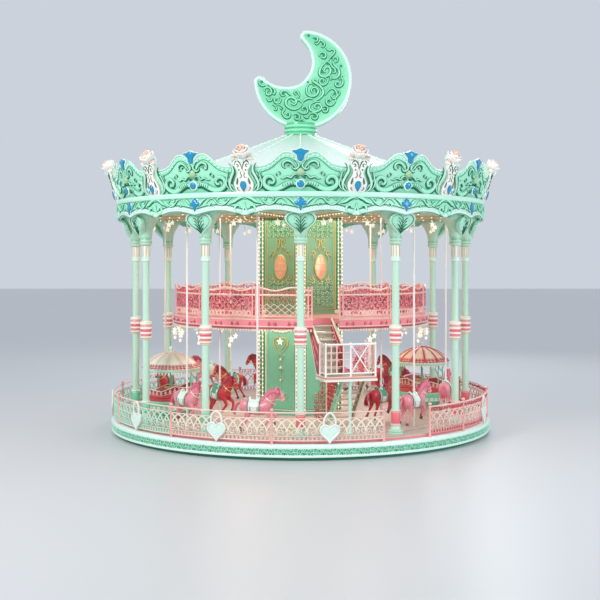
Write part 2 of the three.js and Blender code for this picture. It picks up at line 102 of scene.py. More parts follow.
class Amount:
    """A number socket that grows Math nodes when it is worked with."""

    def __init__(self, finish, socket):
        self.finish, self.socket = finish, socket

    def math(self, operation, first, second):
        made = self.finish.node("ShaderNodeMath", {"operation": operation}, {0: first, 1: second})
        return Amount(self.finish, made.outputs[0])

    def __add__(self, other):
        return self.math("ADD", self, other)

    def __sub__(self, other):
        return self.math("SUBTRACT", self, other)

    def __rsub__(self, other):
        return self.math("SUBTRACT", other, self)

    def __mul__(self, other):
        return self.math("MULTIPLY", self, other)

    def __gt__(self, other):
        return self.math("GREATER_THAN", self, other)

    __radd__, __rmul__ = __add__, __mul__


class Finish:
    """A material in the making, with one method for its nodes."""

    def __init__(self, name):
        self.material = bpy.data.materials.new(name)
        self.material.use_nodes = True
        self.nodes = self.material.node_tree.nodes
        self.shader = self.nodes["Principled BSDF"]

    def feed(self, socket, value):
        """A link from a socket, or a plain value."""
        if isinstance(value, Amount):
            value = value.socket
        if isinstance(value, bpy.types.NodeSocket):
            self.material.node_tree.links.new(value, socket)
        else:
            socket.default_value = value

    def put(self, name, value):
        self.feed(self.shader.inputs[name], value)

    def node(self, kind, settings, sockets):
        made = self.nodes.new(kind)
        for key, value in settings.items():
            setattr(made, key, value)
        for key, value in sockets.items():
            self.feed(made.inputs[key], value)
        return made

    def noise(self, scale, detail=2.0, stretch=(1, 1, 1)):
        """Noise between 0 and 1 over the object's own coordinates."""
        spot = self.node("ShaderNodeTexCoord", {}, {}).outputs["Object"]
        if stretch != (1, 1, 1):
            spot = self.node("ShaderNodeMapping", {}, {"Vector": spot, "Scale": stretch}).outputs[0]
        made = self.node("ShaderNodeTexNoise", {}, {"Vector": spot, "Scale": scale, "Detail": detail})
        return Amount(self, made.outputs["Fac"])

    def mix(self, share, first, second):
        made = self.node("ShaderNodeMix", {"data_type": "RGBA"}, {0: share, 6: first, 7: second})
        return made.outputs[2]

    def bump(self, height, depth):
        made = self.node("ShaderNodeBump", {}, {"Height": height, "Distance": depth, "Strength": 1.0})
        self.put("Normal", made.outputs[0])


def linear(code, gain=1.0):
    """Colour of a hex code as the shader's linear red, green and blue."""
    parts = np.array([int(code[i:i + 2], 16) / 255 for i in (0, 2, 4)])
    parts = np.where(parts <= 0.04045, parts / 12.92, ((parts + 0.055) / 1.055) ** 2.4)
    return (*np.clip(parts * gain, 0, 1), 1.0)


# face colour, then the darker colour painted as shade in recesses and also used for mottling; roughness, coat and
# mottling in hundredths; bump depth in tenths of a millimetre
PAINTS = {
    "mint": ("aef6d6", "4fb98f", 34, 35, 7, 12),
    "mint_deep": ("84e0ba", "2f9a70", 36, 30, 10, 12),
    "mint_pale": ("c8f8e2", "8cdcba", 30, 40, 5, 10),
    "mint_grey": ("cbefd8", "86c4a4", 30, 40, 8, 10),
    "moon_mint": ("9ff2c6", "58c294", 34, 35, 12, 12),
    "white_mint": ("e6fdf3", "b4e8d2", 30, 40, 5, 10),
    "dark_mint": ("2f8f70", "0f4a38", 55, 0, 30, 20),
    "fern": ("27946a", "106045", 50, 0, 20, 10),
    "sage": ("9db39a", "6b7f68", 50, 0, 12, 10),
    "roof_white": ("eefaf3", "c6e6d6", 42, 15, 8, 14),
    "cream": ("f8efda", "b79f84", 36, 30, 10, 12),
    "rose_white": ("fffaf4", "ecd3c2", 40, 25, 6, 12),
    "peach": ("fbd8c0", "e9ab88", 42, 20, 10, 12),
    "white": ("f6f6ee", "c4cac2", 30, 40, 5, 8),
    "pink": ("f28b93", "b03d49", 34, 35, 12, 12),
    "pink_pale": ("fad3c8", "dd8482", 34, 35, 8, 10),
    "fascia_pink": ("f57a82", "c04454", 34, 35, 12, 12),
    "fascia_rose": ("fd97a0", "cf5f6c", 34, 35, 10, 12),
    "coral": ("e04f57", "962430", 32, 40, 16, 12),
    "crimson": ("b32b37", "5e0d16", 36, 30, 24, 14),
    "gem": ("0096c4", "045478", 14, 60, 25, 4),
    "gold": ("e2cb80", "8c7236", 32, 20, 12, 12),
    "brass_dull": ("c8b070", "6d5a2e", 42, 10, 16, 12),
    "teal": ("86cfae", "3f9273", 40, 25, 16, 14),
    "teal_dark": ("4c9672", "24604a", 42, 20, 18, 14),
    "green": ("86b68c", "4a7f58", 42, 20, 14, 16),
    "green_light": ("aed2a6", "6b9c72", 42, 20, 12, 14),
    "mirror_peach": ("f6b384", "c47c4c", 12, 80, 16, 6),
    "floor_pale": ("cfc4b4", "a09384", 52, 10, 14, 20),
    "tread": ("cdbfae", "7c6e62", 60, 0, 18, 30),
    "taupe": ("9d8a7a", "5e4f44", 45, 10, 16, 14),
    "steel": ("8a8f94", "44484c", 32, 0, 10, 6),
    "horse_pink": ("f59aa6", "b93e55", 36, 45, 20, 16),
    "horse_red": ("d23443", "74111f", 34, 45, 22, 16),
    "mane_red": ("b62a3c", "5e0c1a", 42, 30, 28, 30),
    "mane_rose": ("e87690", "93263f", 42, 30, 28, 30),
    "hoof": ("6a4a44", "2c1c1a", 45, 20, 20, 10),
    "saddle_teal": ("46ab98", "1c5a4c", 40, 30, 14, 16),
    "saddle_blue": ("9fc8c4", "3c7c84", 42, 20, 30, 16),
    "canopy_cream": ("f1f0de", "c3cdb0", 40, 20, 10, 12),
    "canopy_peach": ("fbe2c8", "e6aa88", 40, 20, 10, 12),
    "post_pink": ("f6b4ac", "cf7276", 34, 35, 8, 10),
    "seat_cream": ("f0dcc8", "b9947c", 50, 10, 12, 20),
}
METALLIC = {"gold": 0.35, "brass_dull": 0.6, "mirror_peach": 0.2, "tread": 0.1, "steel": 0.95}


def paint(name):
    """Painted finish: each point's painted shade value leads from the darker colour, which paints shade into recesses
    and hollows, to the face colour; mottling and a fine skin.
    """
    face, shade_and_mottle, rough, coat, mottle, depth = PAINTS[name]
    rough, mottle = rough / 100, mottle / 100
    made = Finish(name)
    # the point attribute read here is painted shade: 0 gives the dark shade colour in recesses, 1 the face colour
    painted_light = made.node("ShaderNodeAttribute", {"attribute_name": "painted_light"}, {}).outputs["Fac"]
    cloud = made.noise(2.3, 3.0)
    share = made.node("ShaderNodeMapRange", {"interpolation_type": "SMOOTHSTEP"}, {"Value": painted_light, 1: 0.0, 2: 1.0})
    base = made.mix(share.outputs[0], linear(shade_and_mottle), linear(face))
    dull = made.mix(cloud * mottle, base, linear(shade_and_mottle))
    speck = made.noise(38.0, 2.0)
    made.put("Base Color", made.mix(speck * (mottle * 0.5), dull, linear(face, 1.12)))
    made.put("Roughness", made.noise(9.0, 2.0) * 0.16 + (rough - 0.08))
    made.put("Metallic", METALLIC.get(name, 0.0))
    made.put("Coat Weight", coat / 100)
    made.put("Coat Roughness", 0.12)
    made.bump(made.noise(70.0, 2.0) + cloud * 0.6, depth / 10000)
    return made.material


# the enamel stars' emission is painted light, a painted glow
GLOWS = {"lamp_glass": ("fff6df", "ffe3b0", 1.1), "star_painted_glow": ("fffdf4", "fff0d2", 0.45)}


def glow(name):
    """Milk glass that shines as a lamp, or enamel with a painted glow, a little unevenly."""
    first, second, strength = GLOWS[name]
    made = Finish(name)
    tint = made.mix(made.noise(30.0), linear(first), linear(second))
    made.put("Base Color", tint)
    made.put("Emission Color", tint)
    made.put("Emission Strength", strength)
    made.put("Roughness", made.noise(12.0) * 0.2 + 0.12)
    return made.material


def boarded(name, face, seam, angle, width):
    """Floor of panels: pale seams in rings and spokes, worked out from the object's coordinates."""
    made = Finish(name)
    spot = made.node("ShaderNodeTexCoord", {}, {}).outputs["Object"]
    split = made.node("ShaderNodeSeparateXYZ", {}, {0: spot})
    x, y = Amount(made, split.outputs[0]), Amount(made, split.outputs[1])
    bearing = x.math("ARCTAN2", x, y) * (1 / math.radians(angle))
    far = x.math("POWER", x * x + y * y, 0.5) * (1 / width)
    spoke = bearing.math("PINGPONG", bearing, 0.5)
    ring = far.math("PINGPONG", far, 0.5)
    line = (spoke * 12 > 0.2).math("MULTIPLY", spoke * 12 > 0.2, ring * 9 > 0.12)
    cloud = made.noise(3.0, 4.0)
    base = made.mix(line, linear(seam), linear(face))
    made.put("Base Color", made.mix(cloud * 0.3, base, linear(seam)))
    made.put("Roughness", cloud * 0.25 + 0.35)
    made.bump(line * 0.7 + made.noise(60.0) * 0.3, 0.004)
    return made.material


# Surfaces

class Piece:
    """Closed skins gathered into one mesh: points, arrays of faces, a finish and a painted shade value for each point,
    0 for the dark shade colour and 1 for the face colour.
    """

    def __init__(self):
        self.skins = []

    def add(self, points, faces, finish, painted_light):
        self.skins.append((points, faces, finish, painted_light))

    def take(self, other, deg=0.0, shift=(0, 0, 0)):
        """Another piece's skins, moved, then turned about the upright axis."""
        for points, faces, finish, painted_light in other.skins:
            self.add(turn(points + np.array(shift), deg), faces, finish, painted_light)

    def repeat(self, other, degs):
        """Another piece at each of several angles."""
        for deg in degs:
            self.take(other, deg)

    def placed(self, deg=0.0, shift=(0, 0, 0)):
        """This piece moved, then turned, as a new one."""
        made = Piece()
        made.take(self, deg, shift)
        return made

    def shaped(self, change):
        """This piece with its points put through a change."""
        made = Piece()
        for points, faces, finish, painted_light in self.skins:
            made.add(change(points), faces, finish, painted_light)
        return made

    def strew(self, other, centres, degs=0.0):
        """A copy of another piece at each centre, each turned by its own angle: whole arrays at a time."""
        centres = np.asarray(centres, float).reshape(-1, 3)
        degs = np.broadcast_to(degs, len(centres))
        for points, faces, finish, painted_light in other.skins:
            moved = turn(points[None], degs[:, None]) + centres[:, None]
            step = np.arange(len(centres))[:, None, None] * len(points)
            self.add(moved.reshape(-1, 3), [(f[None] + step).reshape(-1, f.shape[1]) for f in faces], finish,
                     np.tile(painted_light, len(centres)))

    def make(self, name, body, slot, *nodes):
        """The mesh object, riding on its body and standing for its nodes."""
        points = np.concatenate([s[0] for s in self.skins])
        starts = np.cumsum([0] + [len(s[0]) for s in self.skins])
        corners, sizes, which = [], [], []
        paints = list(dict.fromkeys(s[2] for s in self.skins))
        for (_, arrays, finish, _), start in zip(self.skins, starts):
            for faces in arrays:
                corners.append((faces + start).ravel())
                sizes.append(np.full(len(faces), faces.shape[1]))
                which.append(np.full(len(faces), paints.index(finish)))
        corners, sizes = np.concatenate(corners), np.concatenate(sizes)
        mesh = bpy.data.meshes.new(name)
        mesh.vertices.add(len(points))
        mesh.vertices.foreach_set("co", points.astype(np.float32).ravel())
        mesh.loops.add(len(corners))
        mesh.loops.foreach_set("vertex_index", corners.astype(np.int32))
        mesh.polygons.add(len(sizes))
        mesh.polygons.foreach_set("loop_start", np.concatenate([[0], np.cumsum(sizes)[:-1]]).astype(np.int32))
        mesh.polygons.foreach_set("material_index", np.concatenate(which).astype(np.int32))
        # each point's painted shade value, 0 for the dark shade colour and 1 for the face colour
        painted_light = mesh.attributes.new("painted_light", "FLOAT", "POINT")
        painted_light.data.foreach_set("value", np.concatenate([s[3] for s in self.skins]).astype(np.float32))
        mesh.update(calc_edges=True)
        mesh.validate()
        mesh.polygons.foreach_set("use_smooth", np.ones(len(mesh.polygons), bool))
        mesh.set_sharp_from_angle(angle=math.radians(38))
        for one in paints:
            known = bpy.data.materials.get(one)
            mesh.materials.append(known or (glow(one) if one in GLOWS else paint(one)))
        made = in_scene(name, mesh)
        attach(made, body)
        if nodes:
            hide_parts(*nodes)
        return made


def joined(*parts):
    """Arrays stretched to one shape, side by side as the last axis of one array."""
    return np.stack(np.broadcast_arrays(*parts), -1)


def turn(points, deg):
    """Points turned about the upright axis: x cos a - y sin a, x sin a + y cos a."""
    a = np.radians(deg)
    x, y, z = np.moveaxis(np.asarray(points, float), -1, 0)
    return joined(x * np.cos(a) - y * np.sin(a), x * np.sin(a) + y * np.cos(a), z)


def on_ring(radius, height, degs):
    """Points at a radius and height, one at each angle."""
    return turn([(0, -radius, height)], np.asarray(degs, float)[:, None]).reshape(-1, 3)


def weld(points, faces, painted_light):
    """Points that share a place become one, four-sided faces with a doubled corner lose it, and flat ones go."""
    _, first, same = np.unique(np.round(points, 6), axis=0, return_index=True, return_inverse=True)
    faces = same.reshape(-1)[faces]
    doubled = faces == np.roll(faces, -1, 1)
    flat = (faces[:, 0] == faces[:, 2]) | (faces[:, 1] == faces[:, 3])
    fours = faces[(doubled.sum(1) == 0) & ~flat]
    one = (doubled.sum(1) == 1) & ~flat
    threes = faces[one][~doubled[one]].reshape(-1, 3)
    return points[first], [fours, threes], painted_light[first]


def loft(piece, rings, finish, painted_light=1.0, loop=False):
    """Closed skin over rings of points: neighbours are joined, and the end rings are drawn together at their middles
    unless the last ring meets the first. Faces are turned outwards by the sign of the volume."""
    rings = np.asarray(rings, float)
    n, m = rings.shape[:2]
    shade = np.array(np.broadcast_to(painted_light, (n, m)), float)
    if not loop:
        ends = np.repeat(rings[[0, -1]].mean(1, keepdims=True), m, 1)
        rings = np.concatenate([ends[:1], rings, ends[1:]])
        shade = np.concatenate([shade[:1], shade, shade[-1:]])
        n += 2
    i, j = np.meshgrid(np.arange(n if loop else n - 1), np.arange(m), indexing="ij")
    k, l = (i + 1) % n, (j + 1) % m
    faces = np.stack([i * m + j, i * m + l, k * m + l, k * m + j], -1).reshape(-1, 4)
    points = rings.reshape(-1, 3)
    p = points[faces] - points.mean(0)
    volume = (p[:, 0] * np.cross(p[:, 1], p[:, 2]) + p[:, 0] * np.cross(p[:, 2], p[:, 3])).sum()
    if volume < 0:
        faces = faces[:, ::-1]
    points, faces, shade = weld(points, faces, shade.ravel())
    piece.add(points, faces, finish, shade)


def circle(sides, phase=0.0):
    """Unit circle as (cosine, sine) pairs."""
    a = np.radians(phase) + np.arange(sides) * 2 * math.pi / sides
    return np.stack([np.cos(a), np.sin(a)], 1)


def bar(piece, path, profile, finish, up=None, size=1.0, painted_light=1.0, loop=False):
    """Bar along a path in space: the profile's (across, up) pairs are set square to the path and scaled by size."""
    path, profile = np.asarray(path, float), np.asarray(profile, float)
    way = np.roll(path, -1, 0) - np.roll(path, 1, 0) if loop else np.gradient(path, axis=0)
    way = way / np.linalg.norm(way, axis=1, keepdims=True)
    if up is None:
        up = np.eye(3)[np.argmin(np.abs(way).max(0))]
    across = np.cross(way, up)
    across = across / np.linalg.norm(across, axis=1, keepdims=True)
    above = np.cross(across, way)
    size = np.broadcast_to(size, len(path))[:, None, None]
    rings = path[:, None] + size * (profile[None, :, :1] * across[:, None] + profile[None, :, 1:] * above[:, None])
    loft(piece, rings, finish, painted_light, loop)


def rod(piece, path, radius, finish, sides=8, loop=False):
    """Round bar."""
    bar(piece, path, circle(sides), finish, size=radius, loop=loop)


def along(count, values, places=None):
    """Values at their places, or evenly spread from 0 to 1, read off at count even steps."""
    places = np.linspace(0, 1, len(values)) if places is None else places
    return np.interp(np.linspace(0, 1, count), places, values)


def lathe(piece, profile, finish, at=(0, 0), sides=24, painted_light=1.0, phase=0.0, flute=None):
    """Profile of (radius, height) pairs turned about an upright line; flute changes the radius by angle."""
    profile = np.asarray(profile, float)
    ring = circle(sides, phase)
    if flute is not None:
        ring = ring * flute(np.arctan2(ring[:, 1], ring[:, 0]))[:, None]
    flat = profile[:, :1, None] * ring[None] + np.array(at, float)
    high = np.broadcast_to(profile[:, 1:, None], (*flat.shape[:2], 1))
    shade = np.asarray(painted_light, float).reshape(-1, 1)
    loft(piece, np.concatenate([flat, high], 2), finish, shade)


def fluted(depth):
    """Change of a radius by angle: one less a depth times the size of the cosine of eight times the angle."""
    return lambda a: 1 - depth * np.abs(np.cos(8 * a))


def around(piece, degs, radii, heights, finish, painted_light=1.0, loop=False):
    """Cross-section carried round the middle axis: radius times sine and minus cosine of each angle. Radii and heights
    may change with the angle."""
    a = np.radians(np.asarray(degs, float))[:, None]
    r, z = np.asarray(radii, float), np.asarray(heights, float)
    loft(piece, joined(r * np.sin(a), -r * np.cos(a), z), finish, painted_light, loop)


def hoop(piece, profile, finish, painted_light=1.0):
    """Whole ring of one cross-section of (radius, height) pairs, in 128 steps."""
    profile = np.asarray(profile, float)
    around(piece, np.arange(128) * 360 / 128, profile[:, 0], profile[:, 1], finish, painted_light, True)


def tube(piece, degs, radius, height, wide, tall, finish, sides=8, loop=False):
    """Oval bar carried round the middle axis at a radius and height."""
    section = circle(sides)
    around(piece, degs, radius + section[:, 0] * wide, height + section[:, 1] * tall, finish, loop=loop)


def box(piece, low, high, finish, soft=0.006):
    """Block with eased edges: a rounded rectangle carried up through four heights."""
    low, high = np.array(low, float), np.array(high, float)
    middle, half = (low + high) / 2, (high - low) / 2
    corner = np.array([(1, -1), (1, 1), (-1, 1), (-1, -1)], float)
    eased = np.repeat(corner * half[:2], 2, 0)
    eased[0::2] += np.array([(-1, 0), (0, -1), (1, 0), (0, 1)]) * soft
    eased[1::2] += np.array([(0, 1), (-1, 0), (0, -1), (1, 0)]) * soft
    inner = eased * (1 - soft / half[:2])
    heights = (low[2], low[2] + soft, high[2] - soft, high[2])
    rings = [np.column_stack([(r + middle[:2]), np.full(8, z)]) for r, z in zip((inner, eased, eased, inner), heights)]
    loft(piece, rings, finish)


def ball(radius, finish, sides=8, rows=5, squash=1.0):
    """Small ball: circles whose radius is the sine and whose height is the cosine of the polar angle."""
    made = Piece()
    a = np.linspace(0, math.pi, rows + 2)[1:-1]
    ring = circle(sides)
    rings = np.concatenate([np.sin(a)[:, None, None] * ring[None],
                            np.broadcast_to(np.cos(a)[:, None, None] * squash, (rows, sides, 1))], 2)
    poles = np.concatenate([np.full((1, sides, 3), (0, 0, squash)), rings, np.full((1, sides, 3), (0, 0, -squash))])
    loft(made, poles * radius, finish)
    return made


# Curves on panels

def curl(start, headings, length, count=18):
    """Plane curve that turns evenly through the given headings in degrees: the running sum of its steps."""
    s = np.linspace(0, 1, count)
    a = np.radians(np.interp((s[1:] + s[:-1]) / 2, np.linspace(0, 1, len(headings)), headings))
    walk = np.cumsum(np.stack([np.cos(a), np.sin(a)], 1) * length / (count - 1), 0)
    return np.array(start) + np.concatenate([[[0, 0]], walk])


def through(points, count=24, closed=False):
    """Smooth curve through points: the Catmull-Rom blend of each four neighbours."""
    p = np.asarray(points, float)
    before, after = (p[-1:], p[:2]) if closed else (2 * p[:1] - p[1:2], 2 * p[-1:] - p[-2:-1])
    p = np.concatenate([before, p, after])
    spans = len(p) - 3
    t = np.linspace(0, spans, count, endpoint=not closed)
    i = np.minimum(t.astype(int), spans - 1)
    t = (t - i)[:, None]
    a, b, c, d = p[i], p[i + 1], p[i + 2], p[i + 3]
    return 0.5 * (2 * b + (c - a) * t + (2 * a - 5 * b + 4 * c - d) * t ** 2 + (3 * b - a - 3 * c + d) * t ** 3)


def mirrored(half, count):
    """Closed smooth outline from its right half and that half's mirror image."""
    half = np.asarray(half, float)
    return through(np.concatenate([half, half[-2:0:-1] * (-1, 1)]), count, True)


def spaced(path, gap=None, share=None):
    """Points along a path, at even distances or at the given shares of its length."""
    path = np.asarray(path, float)
    far = np.concatenate([[0], np.cumsum(np.linalg.norm(np.diff(path, axis=0), axis=1))])
    at = share * far[-1] if gap is None else np.linspace(0, far[-1], max(2, int(round(far[-1] / gap)) + 1))
    return np.stack([np.interp(at, far, path[:, k]) for k in range(path.shape[1])], 1)


def wall(deg, radius, lean=0.0, foot=0.0):
    """Panel on a round wall: u runs round it, v is the height and w stands out; lean widens it above its foot."""
    def place(u, v, w):
        r = radius + lean * (v - foot) + w
        a = math.radians(deg) + u / radius
        return joined(r * np.sin(a), -r * np.cos(a), v)
    return place


def board(deg, radius, lean=0.0, foot=0.0, aside=0.0):
    """Flat panel square to a radius: u runs sideways, v is the height and w stands out."""
    def place(u, v, w):
        out = radius + lean * (v - foot) + w
        return turn(joined(u + aside, -out, v), deg)
    return place


def flipped(place):
    """The same panel with left and right changed over."""
    return lambda u, v, w: place(-u, v, w)


def both(place):
    """A panel and the same with left and right changed over."""
    return place, flipped(place)


# across, out and painted shade value of cross-sections (0 gives the dark shade colour, 1 the face colour): raised,
# slimmer, a line in the dark colour, and flat and seen from both sides
RAISED = np.array([(-1.3, 0, 0), (-0.7, 0.7, 0.8), (0, 1, 1), (0.7, 0.7, 0.8), (1.3, 0, 0), (0, -0.5, 0)])
SLIM = np.array([(-1.2, -0.1, 0), (-0.55, 0.9, 0.95), (0.55, 0.9, 0.95), (1.2, -0.1, 0)])
LINE = np.array([(-1, -0.3, 0), (-0.7, 1, 0.1), (0.7, 1, 0.1), (1, -0.3, 0)])
FLAT = np.array([(-1, -1, 0.6), (-1, 1, 0.8), (1, 1, 1), (1, -1, 0.6)])
TAPER = (0.15, 1, 1, 0.15)


def ribbon(piece, place, path, width, height, finish, profile=RAISED, thin=TAPER, loop=False, lift=0.0):
    """Bar laid on a panel: the profile is spread square to the path by width, stands out by height, and both shrink
    along it as thin says."""
    path = np.asarray(path, float)
    way = np.roll(path, -1, 0) - np.roll(path, 1, 0) if loop else np.gradient(path, axis=0)
    way = way / np.maximum(np.linalg.norm(way, axis=1, keepdims=True), 1e-9)
    share = along(len(path), thin)[:, None]
    side = profile[None, :, 0] * width * share
    u = path[:, :1] - way[:, 1:] * side
    v = path[:, 1:] + way[:, :1] * side
    loft(piece, place(u, v, lift + profile[None, :, 1] * height * (0.4 + 0.6 * share)), finish, profile[:, 2], loop)


def medal(piece, place, outline, steps, finish, middle=None):
    """Boss on a panel: its outline is drawn in towards its middle by each step's share and raised by the step's height;
    the third number is the painted shade value, low for the dark shade colour."""
    outline = np.asarray(outline, float)
    middle = outline.mean(0) if middle is None else np.array(middle, float)
    share, out, painted_light = (np.array(column, float)[:, None] for column in zip(*steps))
    u = middle[0] + share * (outline[None, :, 0] - middle[0])
    v = middle[1] + share * (outline[None, :, 1] - middle[1])
    loft(piece, place(u, v, np.broadcast_to(out, u.shape)), finish, np.broadcast_to(painted_light, u.shape))


DOMED = ((1, -0.02, 0.3), (1, 0.01, 0.5), (0.9, 0.035, 0.9), (0.65, 0.055, 1), (0.3, 0.066, 1))


def oval(cx, cy, rx, ry, count=14):
    """Ellipse about a centre."""
    return circle(count) * (rx, ry) + (cx, cy)


def heart(cx, tip, width, height, count=28):
    """Heart: sixteen sine cubed across, thirteen cosine less its overtones up, fitted to its box."""
    t = np.linspace(0, 2 * math.pi, count, endpoint=False)
    x = np.sin(t) ** 3
    y = (13 * np.cos(t) - 5 * np.cos(2 * t) - 2 * np.cos(3 * t) - np.cos(4 * t) + 17) / 29
    return np.stack([cx + x * width / 2, tip + y / y.max() * height], 1)


def star(radius, finish, depth):
    """Star plate that faces outwards: its outline's radius goes in and out, and its middle is raised on both sides."""
    made = Piece()
    a = np.arange(10) * math.pi / 5 + math.pi / 2
    r = np.where(np.arange(10) % 2, 0.45, 1.0) * radius
    steps = ((0.3, -depth, 1), (1, -0.2 * depth, 0.8), (1, 0.2 * depth, 0.8), (0.3, depth, 1))
    medal(made, board(0, 0), np.stack([np.cos(a) * r, np.sin(a) * r], 1), steps, finish, (0, 0))
    return made


def starry(hung, size, wire, centres, degs):
    """Two crossed stars at each centre, with the wire that they hang on."""
    for crossed in (0, 90):
        # the stars' glow is painted light
        hung.strew(star(size, "star_painted_glow", 0.022), centres, degs + crossed)
    hung.strew(wire[0], centres + (0, 0, wire[1]), degs)


def beads(piece, place, path, gap, radius, finish="white_mint", out=0.0):
    """Row of small balls on a panel, evenly spaced along a path."""
    spots = spaced(path, gap)
    piece.strew(ball(radius, finish, 5, 2), place(spots[:, 0], spots[:, 1], out))


def twin(piece, place, path, width, height, finish, shade=None, profile=SLIM, thin=TAPER, lift=0.0):
    """Raised band on a panel and its mirror image, over a wider flat dark band set a little below it as its painted
    shadow, if one is given.
    """
    for side in both(place):
        ribbon(piece, side, path, width, height, finish, profile, thin, lift=lift)
        if shade:
            # painted shadow: a wider dark band, shifted down, under the raised one
            ribbon(piece, side, path - (0, 0.4 * width), width * 1.45 + 0.006, height * 0.3, shade, LINE, thin)


def stroke(row):
    """Half width in metres and smooth path of a row: the width in millimetres, then each point's place in centimetres."""
    points = np.array(row[1:]).reshape(-1, 2) / 100
    return row[0] / 1000, through(points, 3 * len(points))


def scrolls(piece, place, table, finish, height=0.03, count=12, shade=None, profile=SLIM, lift=0.0):
    """Mirrored pairs of bands, one for each row: a curl's start, headings, length and half width, or a stroke; a shade
    paint gives each band a painted shadow under it.
    """
    for row in table:
        if isinstance(row[0], tuple):
            start, headings, length, width = row
            path = curl(start, headings, length, count)
        else:
            width, path = stroke(row)
        twin(piece, place, path, width, height, finish, shade, profile, lift=lift)


# Base and columns

def base_skirt():
    """Boarding rim: recessed plinth, lip, close scroll band with painted shade between its curls, round moulding, pink
    trim and the fixed floor ring.
    """
    piece = Piece()
    hoop(piece, [(0.5, 0.0), (5.45, 0.0), (5.45, 0.084), (0.5, 0.084)], "dark_mint")
    hoop(piece, [(5.2, 0.0845), (5.572, 0.0845), (5.583, 0.095), (5.583, 0.137), (5.572, 0.147), (5.2, 0.147)],
         "white_mint")
    hoop(piece, [(5.2, 0.148), (5.549, 0.148), (5.577, 0.3), (5.2, 0.3)], "mint", 0.62)
    curve = [(5.584, 0.302), (5.59, 0.314), (5.59, 0.345), (5.583, 0.375), (5.565, 0.395), (5.53, 0.407)]
    hoop(piece, [(5.2, 0.301), *curve, (5.2, 0.407)], "white_mint")
    hoop(piece, [(4.9, 0.405), (5.395, 0.405), (5.412, 0.42), (5.412, 0.455), (5.395, 0.47), (4.9, 0.47)], "pink")
    hoop(piece, [(4.74, 0.0845), (5.395, 0.0845), (5.4, 0.47), (5.4, 0.489), (4.74, 0.489)], "floor_pale")
    cell = Piece()
    place = wall(0, 5.549, 0.18, 0.148)
    # dark fern curls under the mint ones: painted shade in the gaps between the scrolls
    thicket(cell, place, (-0.24, 0.15), (0.24, 0.298), 0.08, 0.22, 0.014, 0.007, "fern", 6, LINE)
    thicket(cell, place, (-0.24, 0.15), (0.24, 0.298), 0.08, 0.24, 0.014, 0.016, "mint", 8, SLIM)
    piece.repeat(cell, range(0, 360, 5))
    piece.make("base_skirt", "frame", "mint_paint", "base_plinth", "base_rim")


